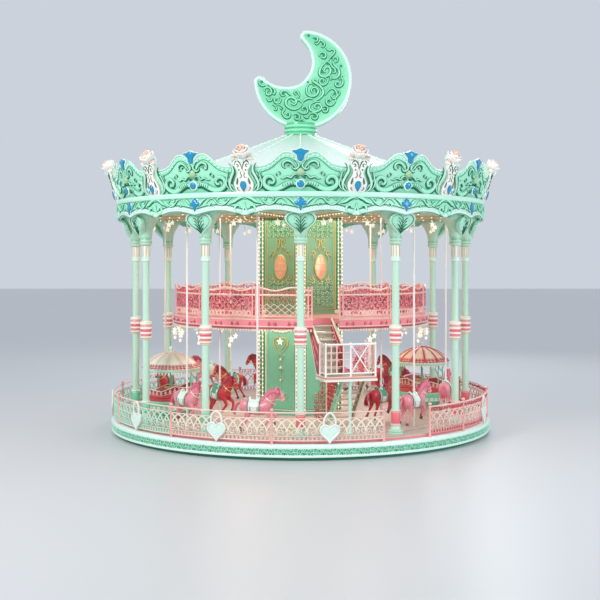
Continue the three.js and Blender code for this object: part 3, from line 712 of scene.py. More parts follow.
def column(foot):
    """One turned column in the front frame: banded foot, drum, fluted shaft, ringed collar, bell capital and heart."""
    piece = Piece()
    at = (0, -COLUMN_R)

    # each ring's tone is its painted shade value, low in the grooves for the dark shade colour
    def ring(profile, finish, shading_tone=1.0, sides=15, flute=None):
        lathe(piece, profile, finish, at, sides, shading_tone, flute=flute)

    ring([(0.196, RIM_TOP), (0.198, 0.515), (0.185, 0.528), (0.168, 0.54), (0.188, 0.552), (0.188, 0.574),
          (0.152, 0.592), (0.13, 0.625), (0.118, 0.67), (0.116, 0.7)], "mint_grey",
         [1, 1, 0.7, 0.2, 0.9, 1, 0.4, 0.9, 1, 0.6])
    ring([(0.128, 0.7), (0.138, 0.715), (0.128, 0.735), (0.112, 0.75), (0.112, 1.05), (0.128, 1.065),
          (0.138, 1.085), (0.125, 1.1)], "pink_pale" if foot == "fascia_pink" else "white_mint",
         [1, 1, 0.6, 0.3, 0.9, 0.6, 1, 1])
    ring([(0.114, 0.765), (0.12, 0.775), (0.12, 1.03), (0.114, 1.04)], foot, 1.0, 32, fluted(0.05))
    ring([(0.104, 1.09), (0.101, 1.12), (0.098, 2.76), (0.104, 2.8)], "mint_grey", 1.0, 32, fluted(0.045))
    ring([(0.1, 2.78), (0.125, 2.8), (0.125, 2.825), (0.16, 2.84), (0.168, 2.85), (0.168, 2.875), (0.155, 2.89)],
         "cream", [0.4, 1, 0.6, 1, 1, 1, 0.6])
    ring([(0.135, 2.885), (0.142, 2.9), (0.142, 2.935), (0.135, 2.95)], "pink")
    for low in (2.95, 3.085, 3.215):
        ring([(0.14, low), (0.166, low + 0.008), (0.169, low + 0.028), (0.166, low + 0.048), (0.15, low + 0.056)],
             "rose_white")
    for low, finish in ((3.0, "pink"), (3.135, "pink_pale")):
        ring([(0.138, low), (0.154, low + 0.016), (0.156, low + 0.042), (0.154, low + 0.07), (0.14, low + 0.09)],
             finish, [0.5, 1, 1, 1, 0.5])
        ring([(0.1545, low + 0.034), (0.1595, low + 0.038), (0.1595, low + 0.05), (0.1545, low + 0.054)], "coral")
    ring([(0.14, 3.268), (0.158, 3.275), (0.152, 3.295), (0.105, 3.31)], "cream")
    ring([(0.1, 3.3), (0.098, 3.33), (0.095, 4.95), (0.1, 4.98)], "mint_grey", 1.0, 32, fluted(0.045))
    ring([(0.1, 4.96), (0.122, 4.975), (0.126, 5.01), (0.116, 5.035), (0.122, 5.06), (0.108, 5.075)], "white_mint",
         [0.5, 1, 1, 0.4, 1, 0.6])
    lathe(piece, [(0.106, 5.07), (0.106, 5.39), (0.1, 5.4)], "cream", at, 8, phase=22.5)
    for k in range(8):
        a = math.radians(45 * k + 22.5)
        rod(piece, [(0.107 * math.cos(a), at[1] + 0.107 * math.sin(a), z) for z in (5.09, 5.38)], 0.006, "sage", 5)
    ring([(0.115, 5.39), (0.15, 5.41), (0.176, 5.44), (0.178, 5.465), (0.16, 5.48), (0.158, 5.51), (0.172, 5.535),
          (0.16, 5.56), (0.165, 5.66), (0.19, 5.8), (0.235, 5.93), (0.3, 6.04), (0.36, 6.12), (0.385, 6.16),
          (0.385, 6.2445)], "mint_grey", [0.4, 0.8, 1, 1, 0.0, 0.8, 1, 0.1, 0.7, 0.75, 0.8, 0.85, 0.9, 1, 1], 24,
         fluted(0.012))
    shield = board(0, 5.072, 0.364, 5.6)
    middle = np.array((0, 5.93))
    outline = heart(0, 5.6, 0.81, 0.6) - middle
    medal(piece, shield, outline + middle, (
        (0.97, -0.09, 0.4), (1, 0.0, 0.8), (1, 0.03, 1), (0.965, 0.05, 1), (0.9, 0.05, 1), (0.86, 0.02, 0.3),
        (0.8, 0.018, 0.8), (0.45, 0.04, 0.95), (0.1, 0.055, 1)), "mint_pale", middle)
    ribbon(piece, shield, outline * 0.855 + middle, 0.01, 0.012, "sage", LINE, (1, 1), True, lift=0.022)
    medal(piece, shield, outline * 0.8 + middle, (
        (1, 0.012, 0.5), (0.97, 0.026, 0.8), (0.5, 0.045, 1), (0.1, 0.06, 1)), "mint", middle)
    for rise, reach in ((5.72, 0.17), (5.79, 0.22), (5.87, 0.25), (5.95, 0.22)):
        twin(piece, shield, curl((0.012, rise - 0.02), [68, 55, 40, 10], reach, 8), 0.013, 0.012, "fern", None, LINE,
             (0.5, 1, 1, 0.1), 0.052)
    twin(piece, shield, curl((0.03, 5.98), [60, 20, -60, -160, -260], 0.26, 10), 0.014, 0.018, "white_mint", lift=0.05)
    ribbon(piece, shield, [(0, 5.68), (0, 5.8), (0, 5.95), (0, 6.06)], 0.012, 0.014, "fern", LINE, (0.2, 1, 1, 0.3),
           lift=0.054)
    return piece


def columns():
    """Twelve columns: the feet are coral from the front round the right side to the back, and mint on the left."""
    for k in range(12):
        made = column("fascia_pink" if k < 7 else "mint_deep").placed(k * 30)
        if k == 0:
            for side in (-0.118, 0.118):
                beads(made, board(0, COLUMN_R, aside=side), [(0, 1.14), (0, 2.74)], 0.075, 0.02, "white")
        made.make("column_%02d_turned" % (k + 1), "frame", "mint_paint", "column_%02d" % (k + 1))


# Canopy

def hem(u):
    """Height of the valance's scalloped edge at a distance along the wall from a column."""
    deg = np.degrees(np.abs(u) / CORNICE_R)
    return np.interp(deg, [0, 1.2, 3, 5, 7.5, 9.5, 11.5, 13.5, 14.6, 15],
                     [6.125, 6.15, 6.19, 6.222, 6.232, 6.22, 6.18, 6.125, 6.1, 6.118])


def crest_top(u):
    """Height of the crown shields' edge at a distance along the wall from a column."""
    deg = np.degrees(np.abs(u) / CORNICE_R)
    return np.interp(deg, [0, 0.8, 1.8, 2.8, 3.8, 4.8, 6.0, 7.5, 9.0, 10.5, 11.6, 12.6, 13.4, 14.2, 15],
                     [7.475, 7.53, 7.63, 7.68, 7.692, 7.66, 7.57, 7.44, 7.375, 7.345, 7.335, 7.36, 7.42, 7.48, 7.5])


def rose(count):
    """Rose head in the front frame, nodding forwards: three cups whose rims go in between the petals, a bud and leaves."""
    piece = Piece()
    degs = np.arange(count) * 360 / count
    for petals, first, wide, foot, rim, finish in (
        (5, 0, 0.185, -0.13, 0.08, "rose_white"), (5, 36, 0.13, -0.06, 0.125, "rose_white"),
        (4, 10, 0.08, 0.0, 0.155, "peach"),
    ):
        lobe = (np.abs(np.cos(np.radians(petals / 2 * (degs - first)))) ** 0.6)[:, None]
        tall = rim - foot
        radii = wide * (np.array([[0.2, 0.72, 0.98, 1.06, 1.0, 0.86, 0.6, 0.1]]) * (0.8 + 0.2 * lobe))
        heights = foot + tall * np.array([[0, 0.2, 0.6, 0.9, 1.0, 0.9, 0.45, 0.3]]) - tall * 0.22 * (1 - lobe)
        # painted shade: each cup darker towards its inner foot
        around(piece, degs, radii, heights, finish, [0.3, 0.5, 0.9, 1, 1, 0.7, 0.1, 0.0], True)
    piece.take(ball(0.042, "peach", 8, 5, 1.5), 0, (0, 0, 0.1))
    for k in range(5):
        path = turn([(0.03, 0, -0.15), (0.12, 0, -0.15), (0.175, 0, -0.11), (0.205, 0, -0.06)], 72 * k + 20)
        bar(piece, path, [(-1, -0.2), (0, -0.35), (1, -0.2), (0, 0.2)], "white_mint", None, [0.02, 0.055, 0.045, 0.006])
    lean = math.radians(38)
    tilt = np.array([(1, 0, 0), (0, math.cos(lean), math.sin(lean)), (0, -math.sin(lean), math.cos(lean))])
    return piece.shaped(lambda points: points @ tilt)


def cresting_card(high):
    """Card between two shields: lyre plate with its piercings painted as dark shade, in scrolled brackets, teardrop
    gem, dark curls, a rose and two buds.
    """
    card = wall(15, CORNICE_R, 0.3, CREST_FOOT)
    outline = mirrored([(0.0, 6.675), (0.17, 6.685), (0.225, 6.76), (0.25, 6.9), (0.19, 7.03), (0.13, 7.14),
                        (0.145, 7.25), (0.2, 7.34), (0.215, 7.43), (0.16, 7.5), (0.0, 7.52)], 44)
    scrolls(high, card, (
        (34, 20, 669, 33, 676, 37.5, 690, 32, 706, 25, 720, 27, 734, 35, 742),
        (16, 30, 672, 42, 680, 46, 693, 42, 708, 38, 722),
    ), "mint_pale", 0.045, shade="fern")
    medal(high, card, outline, ((0.97, -0.05, 0.4), (1, 0.0, 0.6), (1, 0.035, 1), (0.93, 0.05, 1), (0.3, 0.055, 0.95)),
          "rose_white", (0, 7.08))
    for hand in both(card):
        # the lyre's piercings are dark teal bosses: painted shade where the plate would be open
        hole_shade = through([(0.155, 6.88), (0.185, 6.91), (0.165, 6.99), (0.135, 7.05), (0.125, 6.97)], 16, True)
        medal(high, hand, hole_shade, ((1, 0.03, 0.2), (1, 0.062, 0.4), (0.4, 0.062, 0.5)), "teal_dark", hole_shade.mean(0))
        medal(high, hand, oval(0.085, 7.235, 0.02, 0.02, 8), ((1, 0.04, 0.3), (1, 0.066, 0.6)), "fern")
    scrolls(high, card, (
        (13, 18.5, 736, 16.5, 743, 10, 746, 4.5, 740, 1.5, 731, 0, 722),
        (11, 15, 736, 12, 738, 9, 735, 11, 731, 14, 732),
        (10, 2, 722, 5, 716, 3, 710, 6, 704, 10, 706),
        (9, 10, 672, 15, 675, 17, 680, 14, 682),
    ), "fern", 0.014, profile=LINE, lift=0.052)
    drop = mirrored([(0, 6.7), (0.045, 6.76), (0.085, 6.85), (0.06, 6.94), (0, 6.965)], 20)
    medal(high, card, drop, ((1.3, 0.0, 0.4), (1.3, 0.07, 1), (1.0, 0.08, 1)), "white", (0, 6.85))
    medal(high, card, drop, ((1, 0.05, 0.3), (0.98, 0.09, 0.6), (0.6, 0.12, 1)), "gem", (0, 6.85))
    for u, v, out, size, count in ((0.0, 7.68, -0.02, 1.12, 32), (0.205, 7.53, 0.0, 0.42, 16),
                                   (-0.205, 7.53, 0.0, 0.42, 16)):
        high.strew(rose(count).shaped(lambda points: points * size), card(u, v, out), 15)
    bar(high, [card(0.0, 7.45, -0.02), card(0.0, 7.6, -0.02)], circle(8), "white_mint", size=[0.09, 0.06])


def canopy_bay():
    """One bay of the cornice and cresting, from the middle of one shield to either side, in the front frame."""
    low, high = Piece(), Piece()
    lower = wall(0, CORNICE_R)
    reach = np.linspace(0, CORNICE_R * math.radians(15), 20)
    edge = np.stack([reach, hem(reach)], 1)
    twin(low, lower, edge + (0, 0.075), 0.056, 0.024, "white_mint", thin=(1, 1))
    twin(low, lower, edge[::2] + (0, 0.166), 0.013, 0.012, "fern", None, LINE, (1, 1))
    twin(low, lower, edge[::2] + (0, 0.012), 0.009, 0.01, "mint_deep", None, LINE, (1, 1), 0.01)
    for side in both(lower):
        beads(low, side, edge[1:-1] + (0, 0.085), 0.075, 0.014, "mint_deep", 0.024)
    scrolls(low, lower, (
        (40, 140.5, 653, 133, 657, 122, 653, 112, 646, 100, 641),
        (34, 139.8, 644, 140.2, 632, 134, 621, 123, 619.5, 115, 627, 118, 635.5, 126, 636, 128.5, 629.5),
        (20, 110, 656, 102, 654, 90, 643, 78, 638, 66, 644, 56, 654, 44, 653, 34, 642),
        (15, 80, 655, 72, 657, 67, 652, 72, 648),
        (12, 94, 656, 88, 650, 84, 656),
        (14, 50, 644, 44, 638, 50, 635, 56, 639),
        (28, 36, 656, 26, 652, 18, 644, 13, 636),
    ), "mint", 0.045, shade="fern")
    fleur = mirrored([(0, -0.5), (0.1, -0.34), (0.16, -0.12), (0.34, -0.1), (0.46, 0.06), (0.36, 0.22), (0.24, 0.2),
                      (0.22, 0.36), (0.1, 0.42), (0, 0.5)], 32) * 0.36 + (0, 6.4)
    medal(low, lower, fleur, ((1.12, -0.02, 0.5), (1.12, 0.012, 1), (1.0, 0.02, 1)), "white_mint", (0, 6.4))
    medal(low, lower, fleur, ((1, 0.0, 0.3), (0.99, 0.03, 0.5), (0.8, 0.055, 0.9), (0.4, 0.07, 1)), "gem", (0, 6.4))
    upper = wall(0, CORNICE_R, 0.2, CREST_FOOT)
    reach = np.linspace(0, CORNICE_R * math.radians(12.9), 34)
    rim = np.stack([reach, crest_top(reach)], 1)
    twin(high, upper, rim - (0, 0.016), 0.018, 0.03, "white_mint", thin=(1, 1))
    twin(high, upper, rim[2::2] - (0, 0.155), 0.01, 0.01, "mint_deep", None, LINE, (1, 1))
    for side in both(upper):
        beads(high, side, rim[3:] - (0, 0.085), 0.115, 0.027, "white_mint", 0.006)
    wing = through([(0.1, 6.885), (0.22, 6.915), (0.36, 6.875), (0.5, 6.8), (0.64, 6.76), (0.79, 6.785), (0.895, 6.87),
                    (0.905, 6.99), (0.82, 7.075), (0.71, 7.065), (0.65, 6.98), (0.69, 6.91), (0.76, 6.92)], 36)
    # the wing lies over a dark fern band, its painted shadow
    twin(high, upper, wing, 0.056, 0.05, "mint", "fern", thin=(0.7, 1.15, 1.1, 1, 0.85, 0.65, 0.5))
    # narrow pale band along the top of the wing: a painted highlight
    twin(high, upper, wing[4:] + (0, 0.006), 0.014, 0.058, "mint_pale", None, RAISED, (0.4, 1, 1, 0.6))
    for k in range(5):
        foot = np.array((0.16 + 0.062 * k, 6.86 - 0.012 * k))
        twin(high, upper, foot + np.array([(0, 0), (0.028, 0.035), (0.04, 0.085)]), 0.01, 0.012, "fern", None, LINE,
             (0.4, 1, 0.3), 0.046)
    scrolls(high, upper, (
        (28, 5, 720, 13, 731, 22, 742, 33, 745.5, 42, 740, 42, 731, 36, 728),
        (22, 15, 749, 9, 743, 4, 733, 12, 725, 20, 729, 19, 736),
        (13, 24, 736, 31, 736, 32, 730),
        (20, 3, 706, 10, 712, 18, 710, 24, 704, 34, 707, 42, 702, 50, 703),
        (36, 118, 672, 110, 686, 102, 695, 99, 705, 101, 714, 97, 721),
        (24, 117, 720, 109, 716, 103, 706),
    ), "mint", 0.042, shade="fern")
    scrolls(high, upper, (
        (12, 55, 707, 60, 711, 58, 716), (12, 56, 720, 50, 716, 53, 710),
    ), "fern", 0.014, profile=LINE)
    medal(high, upper, mirrored([(0, 7.08), (0.09, 7.14), (0.08, 7.22), (0, 7.29)], 24), DOMED, "green_light", (0, 7.18))
    for side in both(upper):
        medal(high, side, oval(0.095, 7.045, 0.04, 0.027, 10), (
            (1, -0.01, 0.2), (1, 0.05, 0.4), (0.4, 0.054, 0.5)), "fern")
    medal(high, upper, oval(0, 6.885, 0.118, 0.118), ((1, -0.02, 0.5), (1, 0.045, 1), (0.85, 0.055, 1)), "white_mint")
    medal(high, upper, oval(0, 6.885, 0.094, 0.094), ((1, 0.0, 0.2), (1, 0.06, 0.6), (0.8, 0.085, 1), (0.4, 0.1, 1)), "gem")
    outline = (0, 7.6) + mirrored([(0, -0.17), (0.075, -0.12), (0.1, 0.0), (0.21, 0.1), (0.1, 0.12), (0, 0.16)], 26)
    medal(high, upper, outline, ((1.1, -0.03, 0.4), (1.1, 0.02, 1), (1, 0.03, 1)), "white_mint", (0, 7.6))
    medal(high, upper, outline, ((1, 0.0, 0.3), (0.98, 0.04, 0.6), (0.7, 0.07, 1)), "gem", (0, 7.6))
    cresting_card(high)
    return low, high


def canopy():
    """Cornice, cresting and roof: the bays, the boards behind them and the roof's twelve flat sides."""
    low, high = canopy_bay()
    cornice, cresting, roof = Piece(), Piece(), Piece()
    cornice.repeat(low, BAYS)
    cresting.repeat(high, BAYS)
    degs = np.arange(360)
    u = np.radians((degs + 15) % 30 - 15) * CORNICE_R
    edge = hem(u)[:, None]
    around(cornice, degs, [[4.85, 5.355, 5.352, 5.36, 5.39, 5.4, 5.4, 5.3, 4.85]],
           np.concatenate([edge * 0 + 6.245, edge * 0 + 6.245, edge + 0.02, edge, edge, edge + 0.01, edge * 0 + 6.6,
                           edge * 0 + 6.6, edge * 0 + 6.33], 1),
           "mint", [0.6, 0.6, 0.6, 0.9, 1, 0.9, 0.55, 0.6, 0.6], True)
    hoop(cornice, [(5.1, 6.565), (5.42, 6.565), (5.45, 6.58), (5.462, 6.61), (5.462, 6.67), (5.452, 6.7), (5.43, 6.712),
                   (5.4, 6.715), (5.1, 6.662)], "mint_pale", [0.2, 0.2, 0.8, 1, 1, 1, 0.8, 0.6, 0.6])
    hoop(cornice, [(5.1, 6.33), (5.34, 6.33), (5.34, 6.8), (5.1, 6.8)], "white_mint")
    cornice.make("canopy_cornice", "frame", "white_mint_fibreglass", "cornice")
    top = crest_top(u)[:, None]
    card = np.abs(u[:, None]) > CORNICE_R * math.radians(12.9)
    lean = np.where(card, 0.27, 0.2)
    share = np.array([[0.0, 0.03, 0.25, 0.5, 0.75, 0.93, 1.0, 0.99, 0.5, 0.0]])
    heights = CREST_FOOT + (top - CREST_FOOT) * share
    out = np.array([[0.0, 0.0, -0.012, -0.02, -0.012, 0.0, -0.01, -0.05, -0.05, -0.05]])
    around(cresting, degs, CORNICE_R + lean * (heights - CREST_FOOT) + out, heights, "mint",
           [0.5, 0.35, 0.62, 0.8, 0.9, 0.95, 1, 0.9, 0.6, 0.5], True)
    cresting.make("canopy_cresting", "frame", "white_mint_fibreglass", "cresting")
    degs = np.arange(240) * 1.5
    flat = (np.cos(math.radians(15)) / np.cos(np.radians(degs % 30 - 15)))[:, None]
    around(roof, degs, [5.15, 5.325, 5.325, 3.6, 2.0, 0.45, 0.3, 5.15] * flat,
           [6.801, 6.801, 6.86, 7.51, 8.12, 8.709, 8.64, 6.84], "roof_white", [0.6, 0.6, 1, 1, 0.8, 0.1, 0.6, 0.6], True)
    for deg in BAYS:
        hip = turn([(0, -5.3, 6.875), (0, -3.6, 7.522), (0, -2.0, 8.13), (0, -0.47, 8.708)], deg)
        rod(roof, hip, 0.032, "white_mint")
        roof.strew(ball(0.022, "lamp_glass", 6, 3), spaced(turn([(0, -5.15, 6.95), (0, -0.62, 8.67)], deg), 0.25))
    roof.make("canopy_roof", "frame", "white_mint_fibreglass", "roof")


def thicket(piece, place, low, high, step, size, width, height, finish, seed=1, profile=FLAT, where=None):
    """Close scrollwork that fills a rectangle, or the part of it that where allows: a curl in each cell of a grid, set
    at a seeded angle and alternately left- and right-handed."""
    seeded = np.random.default_rng(seed)
    low, high = np.array(low, float), np.array(high, float)
    across, up = np.maximum(1, np.round((high - low) / step)).astype(int)
    for i in range(across):
        for j in range(up):
            middle = low + (high - low) * ((i + 0.5) / across, (j + 0.5) / up)
            hand = 1 if (i + j) % 2 else -1
            path = curl((0, 0), seeded.uniform(0, 360) + hand * np.array([0, 50, 130, 230, 350]), size, 6)
            if where is None or where(*middle):
                ribbon(piece, place, path - path.mean(0) + middle, width, height, finish, profile, (0.5, 1, 1, 0.5))


def moon_outline():
    """Crescent with rounded tips as outer and inner halves of equal count, from the low tip to the high one."""
    def arc(cx, cy, r, first, last, count):
        a = np.radians(np.linspace(first, last, count))
        return np.stack([cx + r * np.cos(a), cy + r * np.sin(a)], 1)
    big, top, low = 1.464, 0.17, 0.16
    at_top = (big - top) * np.array([math.cos(math.radians(86)), math.sin(math.radians(86))])
    at_low = (big - low) * np.array([math.cos(math.radians(182.3)), math.sin(math.radians(182.3))])
    bite = [(0.144, 0.94), (0.235, 0.67), (0.251, 0.458), (0.171, 0.19), (-0.044, -0.08), (-0.26, -0.18),
            (-0.472, -0.21), (-0.7, -0.19), (-0.901, -0.13), (-1.085, -0.015)]
    outer = np.concatenate([arc(*at_low, low, 113, 178, 6), arc(0, 0, big, 184, 444, 80), arc(*at_top, top, 90, 155, 6)])
    top_side = arc(*at_top, top, 163, 228, 6)
    low_side = arc(*at_low, low, 105, 48, 6)[::-1]
    inner = through(np.concatenate([top_side[-1:], bite, low_side[:1]]), 90)
    inner = np.concatenate([top_side[:-1], inner, low_side[1:]])[::-1]
    share = 0.5 - 0.5 * np.cos(np.linspace(0.06, math.pi - 0.06, 96))
    return spaced(outer, share=share), spaced(inner, share=share)


# half width in millimetres, then each point's place across and up in centimetres
MOON_SCROLLS = (
    (19, 28, 124, 35, 128, 43, 123, 41, 115, 34, 115),
    (19, 34, 111, 40, 105, 47, 111, 49, 117, 56, 115, 64, 107, 60, 97, 54, 100),
    (21, 67, 96, 77, 87, 86, 91, 94, 86, 91, 77, 82, 68, 77, 60),
    (21, 47, 68, 50, 78, 60, 82, 68, 74, 64, 65, 56, 66, 56, 73),
    (19, 90, 57, 92, 66, 101, 66, 102, 56, 95, 51),
    (27, 87, 55, 94, 42, 105, 32, 108, 17, 100, 6, 87, 3),
    (27, 77, 60, 67, 51, 55, 39, 49, 25, 51, 13, 64, 9, 77, 15, 82, 27, 78, 37, 68, 37, 62, 27, 66, 21),
    (21, 71, 55, 81, 47, 87, 38, 95, 31, 95, 21, 87, 22),
    (19, 77, 14, 83, 7, 82, -3),
    (21, 65, 7, 73, -3, 68, -13, 57, -16, 49, -7, 53, 2, 62, 0, 60, -7),
    (21, 118, 12, 113, 7, 119, -4, 115, -17, 103, -21, 96, -14, 101, -6, 107, -10),
    (16, 106, 3, 112, 0),
    (27, 40, -4, 34, 2, 29, -4, 39, -11, 51, -20, 60, -34, 56, -49, 42, -60, 31, -64),
    (24, 28, -11, 16, -15, 10, -28, 12, -42, 24, -50, 38, -47, 45, -36, 41, -26, 29, -24, 24, -33, 29, -39),
    (13, 28, -13, 36, -20),
    (24, -2, -69, 5, -60, 16, -56, 28, -58),
    (24, 50, -66, 35, -67, 22, -74, 19, -86, 29, -95, 45, -94, 55, -84, 50, -74, 39, -73, 34, -82, 41, -86),
    (21, 65, -47, 77, -31, 90, -27, 99, -37, 101, -50, 92, -57, 85, -50, 89, -43),
    (16, 101, -51, 108, -42, 106, -31),
    (21, 97, -56, 94, -68, 83, -77, 71, -72, 70, -62, 79, -58, 83, -64),
    (19, 56, -83, 65, -79, 74, -84, 71, -95, 62, -96, 58, -88, 65, -87),
    (27, -2, -70, -11, -83, -26, -89, -42, -84, -52, -72, -49, -59, -38, -53, -25, -57, -20, -67, -27, -75, -36, -71),
    (21, -37, -60, -28, -68, -15, -60, -2, -70),
    (21, -26, -53, -40, -44, -49, -35, -61, -34, -67, -41, -61, -49, -53, -45),
    (19, -15, -55, -12, -46, -19, -34, -26, -39, -21, -46),
    (16, -134, -5, -130, -14, -121, -19, -113, -17),
    (21, -106, -14, -95, -22, -85, -31, -86, -43, -93, -41),
    (21, -116, -35, -113, -26, -102, -24, -95, -34, -99, -45, -109, -44, -109, -35, -104, -34),
    (19, -109, -54, -103, -63, -94, -60, -99, -51),
    (19, -71, -51, -67, -60, -73, -70, -84, -68, -86, -59, -80, -54, -76, -60),
    (16, -92, -74, -82, -80, -80, -90, -88, -90),
    (21, -83, -77, -69, -76, -56, -88, -62, -98, -56, -111, -45, -114, -39, -105, -45, -98, -51, -104),
    (13, -69, -84, -63, -90),
    (19, -29, -106, -20, -102, -11, -109, -14, -119, -24, -117, -22, -110),
    (19, -15, -95, -2, -102, 11, -99, 13, -88, 5, -80, -3, -86, 1, -93),
    (19, 16, -111, 21, -102, 34, -100, 43, -109, 37, -118, 27, -115, 30, -108),
    (16, -15, -126, -5, -119, 5, -127),
    (16, 1, -108, 9, -114, 17, -113),
)
# across and up in centimetres and radius in millimetres of the dark dots, painted shade in the hollows between the
# scrolls
MOON_DOTS = (
    (16, 131, 35), (36, 120, 24), (58, 105, 24), (60, 73, 40), (113, 40, 32), (57, 23, 46), (93, 26, 43), (82, 0, 40),
    (58, -5, 37), (102, -12, 40), (14, -8, 24), (40, -34, 46), (28, -33, 24), (38, -80, 43), (94, -43, 32), (77, -67, 24),
    (65, -88, 37), (-27, -68, 48), (-17, -39, 24), (-59, -42, 32), (-124, -7, 37), (-87, -37, 35), (-106, -35, 35),
    (-80, -59, 37), (-83, -91, 27), (-46, -105, 32), (-19, -111, 35), (4, -89, 27), (34, -109, 40), (-5, -125, 27),
    (73, 46, 27), (86, 62, 24),
)


def moon():
    """Crescent on its ringed neck: cross-sections run from the outer edge to the inner one, with a pale rim and raised
    scrolls on both faces; painted shade darkens each face towards its middle, each scroll has a dark painted shadow
    under it, and dark dots are painted shade in the hollows."""
    neck = Piece()
    # the low values put painted shade into the neck's grooves
    lathe(neck, [(0.42, 8.7105), (0.47, 8.715), (0.5, 8.74), (0.478, 8.77), (0.468, 8.8), (0.5, 8.825), (0.508, 8.86),
                 (0.49, 8.89), (0.452, 8.91), (0.452, 8.925), (0.49, 8.945), (0.502, 8.98), (0.488, 9.015), (0.45, 9.035),
                 (0.445, 9.089)], "moon_mint", (0, 0), 48,
          [0.2, 0.6, 0.9, 0.2, 0.0, 0.8, 1, 0.6, 0.0, 0.0, 0.8, 1, 0.6, 0.0, 0.3])
    neck.make("moon_neck", "frame", "mint_fibreglass", "moon_collar")
    outside, inside = moon_outline()
    share = np.array([0, 0.02, 0.1, 0.25, 0.5, 0.75, 0.9, 0.98, 1.0])
    out = np.array([0.125, 0.15, 0.142, 0.142, 0.144, 0.142, 0.142, 0.15, 0.125])
    # painted shade: the face darker towards the middle between its edges, so the scrolls stand out
    shading_tone = [1, 1, 0.85, 0.55, 0.42, 0.55, 0.85, 1, 1]
    share, out = np.concatenate([share, share[::-1]])[None, :, None], np.concatenate([out, -out[::-1]])
    flat = outside[:, None] + (inside - outside)[:, None] * share
    piece = Piece()
    loft(piece, joined(flat[:, :, 0] + 0.08, -out, flat[:, :, 1] + MOON_MIDDLE), "moon_mint", shading_tone + shading_tone[::-1])
    inset = np.minimum(0.058 / np.maximum(np.linalg.norm(inside - outside, axis=1), 0.02), 0.3)[:, None]
    edge = np.concatenate([outside + (inside - outside) * inset, (inside + (outside - inside) * inset)[::-1]])
    edge = edge[np.concatenate([np.arange(8, 88), np.arange(104, 184)])]
    for front in (1, -1):
        def face(u, v, w, front=front):
            return joined(u + 0.08, -front * (0.142 + w), v + MOON_MIDDLE)
        ribbon(piece, face, edge, 0.04, 0.028, "white_mint", thin=(1, 1), loop=True)
        for row in MOON_SCROLLS:
            width, path = stroke(row)
            # a dark band set a little below each scroll: its painted shadow
            ribbon(piece, face, path - (0, 0.013), width * 1.35 + 0.018, 0.01, "fern", LINE, (0.5, 1, 1, 0.6), lift=0.002)
            ribbon(piece, face, path, width, 0.022, "moon_mint", thin=(0.5, 1, 1, 0.6), lift=0.01)
        # dark dots: painted shade in the hollows at the eyes of the scrolls
        for u, v, r in MOON_DOTS:
            r = r / 1000 * 1.15
            medal(piece, face, oval(u / 100, v / 100, r, r, 8), ((1, -0.01, 0.2), (1, 0.014, 0.6), (0.5, 0.018, 1)), "fern")
    piece.make("moon_crescent", "frame", "mint_fibreglass", "moon")


# Fence round the platform

def lattice(piece, place, start, end, low, high, cell, finish):
    """Openwork between two heights: crossing pointed arches with an oval in each gap, over small close curls."""
    count = max(1, int(round((end - start) / cell)))
    wide = (end - start) / count
    rise = high - low
    lean = through([(0.0, 0.0), (0.02, 0.35), (0.25, 0.62), (0.6, 0.84), (1.0, 1.0)], 7)
    for k in range(count):
        left = start + k * wide
        for base, hand in ((left, 1), (left + wide, -1)):
            path = np.stack([base + hand * lean[:, 0] * wide, low + lean[:, 1] * rise], 1)
            ribbon(piece, place, path, 0.016, 0.01, finish, FLAT, (1, 1))
        ribbon(piece, place, oval(left + wide / 2, low + rise * 0.62, wide * 0.24, rise * 0.15, 8), 0.012, 0.009, finish,
               FLAT, (1, 1), True)
    thicket(piece, place, (start, low + 0.01), (end, low + rise * 0.46), 0.16, 0.34, 0.011, 0.009, finish, 17)


def padlock(piece, deg):
    """Heart padlock: a plate with a thick white rim round a pale heart, and a round-arched shackle over the rails."""
    place = board(deg, 5.55)
    outline = heart(0, 0.42, 0.53, 0.49)
    middle = np.array((0, 0.7))
    medal(piece, place, outline, (
        (0.2, -0.03, 1), (0.95, -0.026, 0.9), (1, -0.01, 1), (1, 0.006, 1), (0.98, 0.012, 1)), "white", middle)
    ribbon(piece, place, (outline - middle) * 0.9 + middle, 0.024, 0.026, "white", thin=(1, 1), loop=True, lift=0.01)
    medal(piece, place, (outline - middle) * 0.83 + middle, (
        (1, 0.0, 0.2), (1, 0.016, 0.4), (0.85, 0.022, 0.7), (0.3, 0.026, 0.75)), "white_mint", middle)
    arch = through([(-0.115, 0.8), (-0.15, 0.93), (-0.125, 1.08), (0, 1.19), (0.125, 1.08), (0.15, 0.93),
                    (0.115, 0.8)], 16)
    bar(piece, place(arch[:, 0], arch[:, 1], 0.0), circle(8), "white", size=0.024)


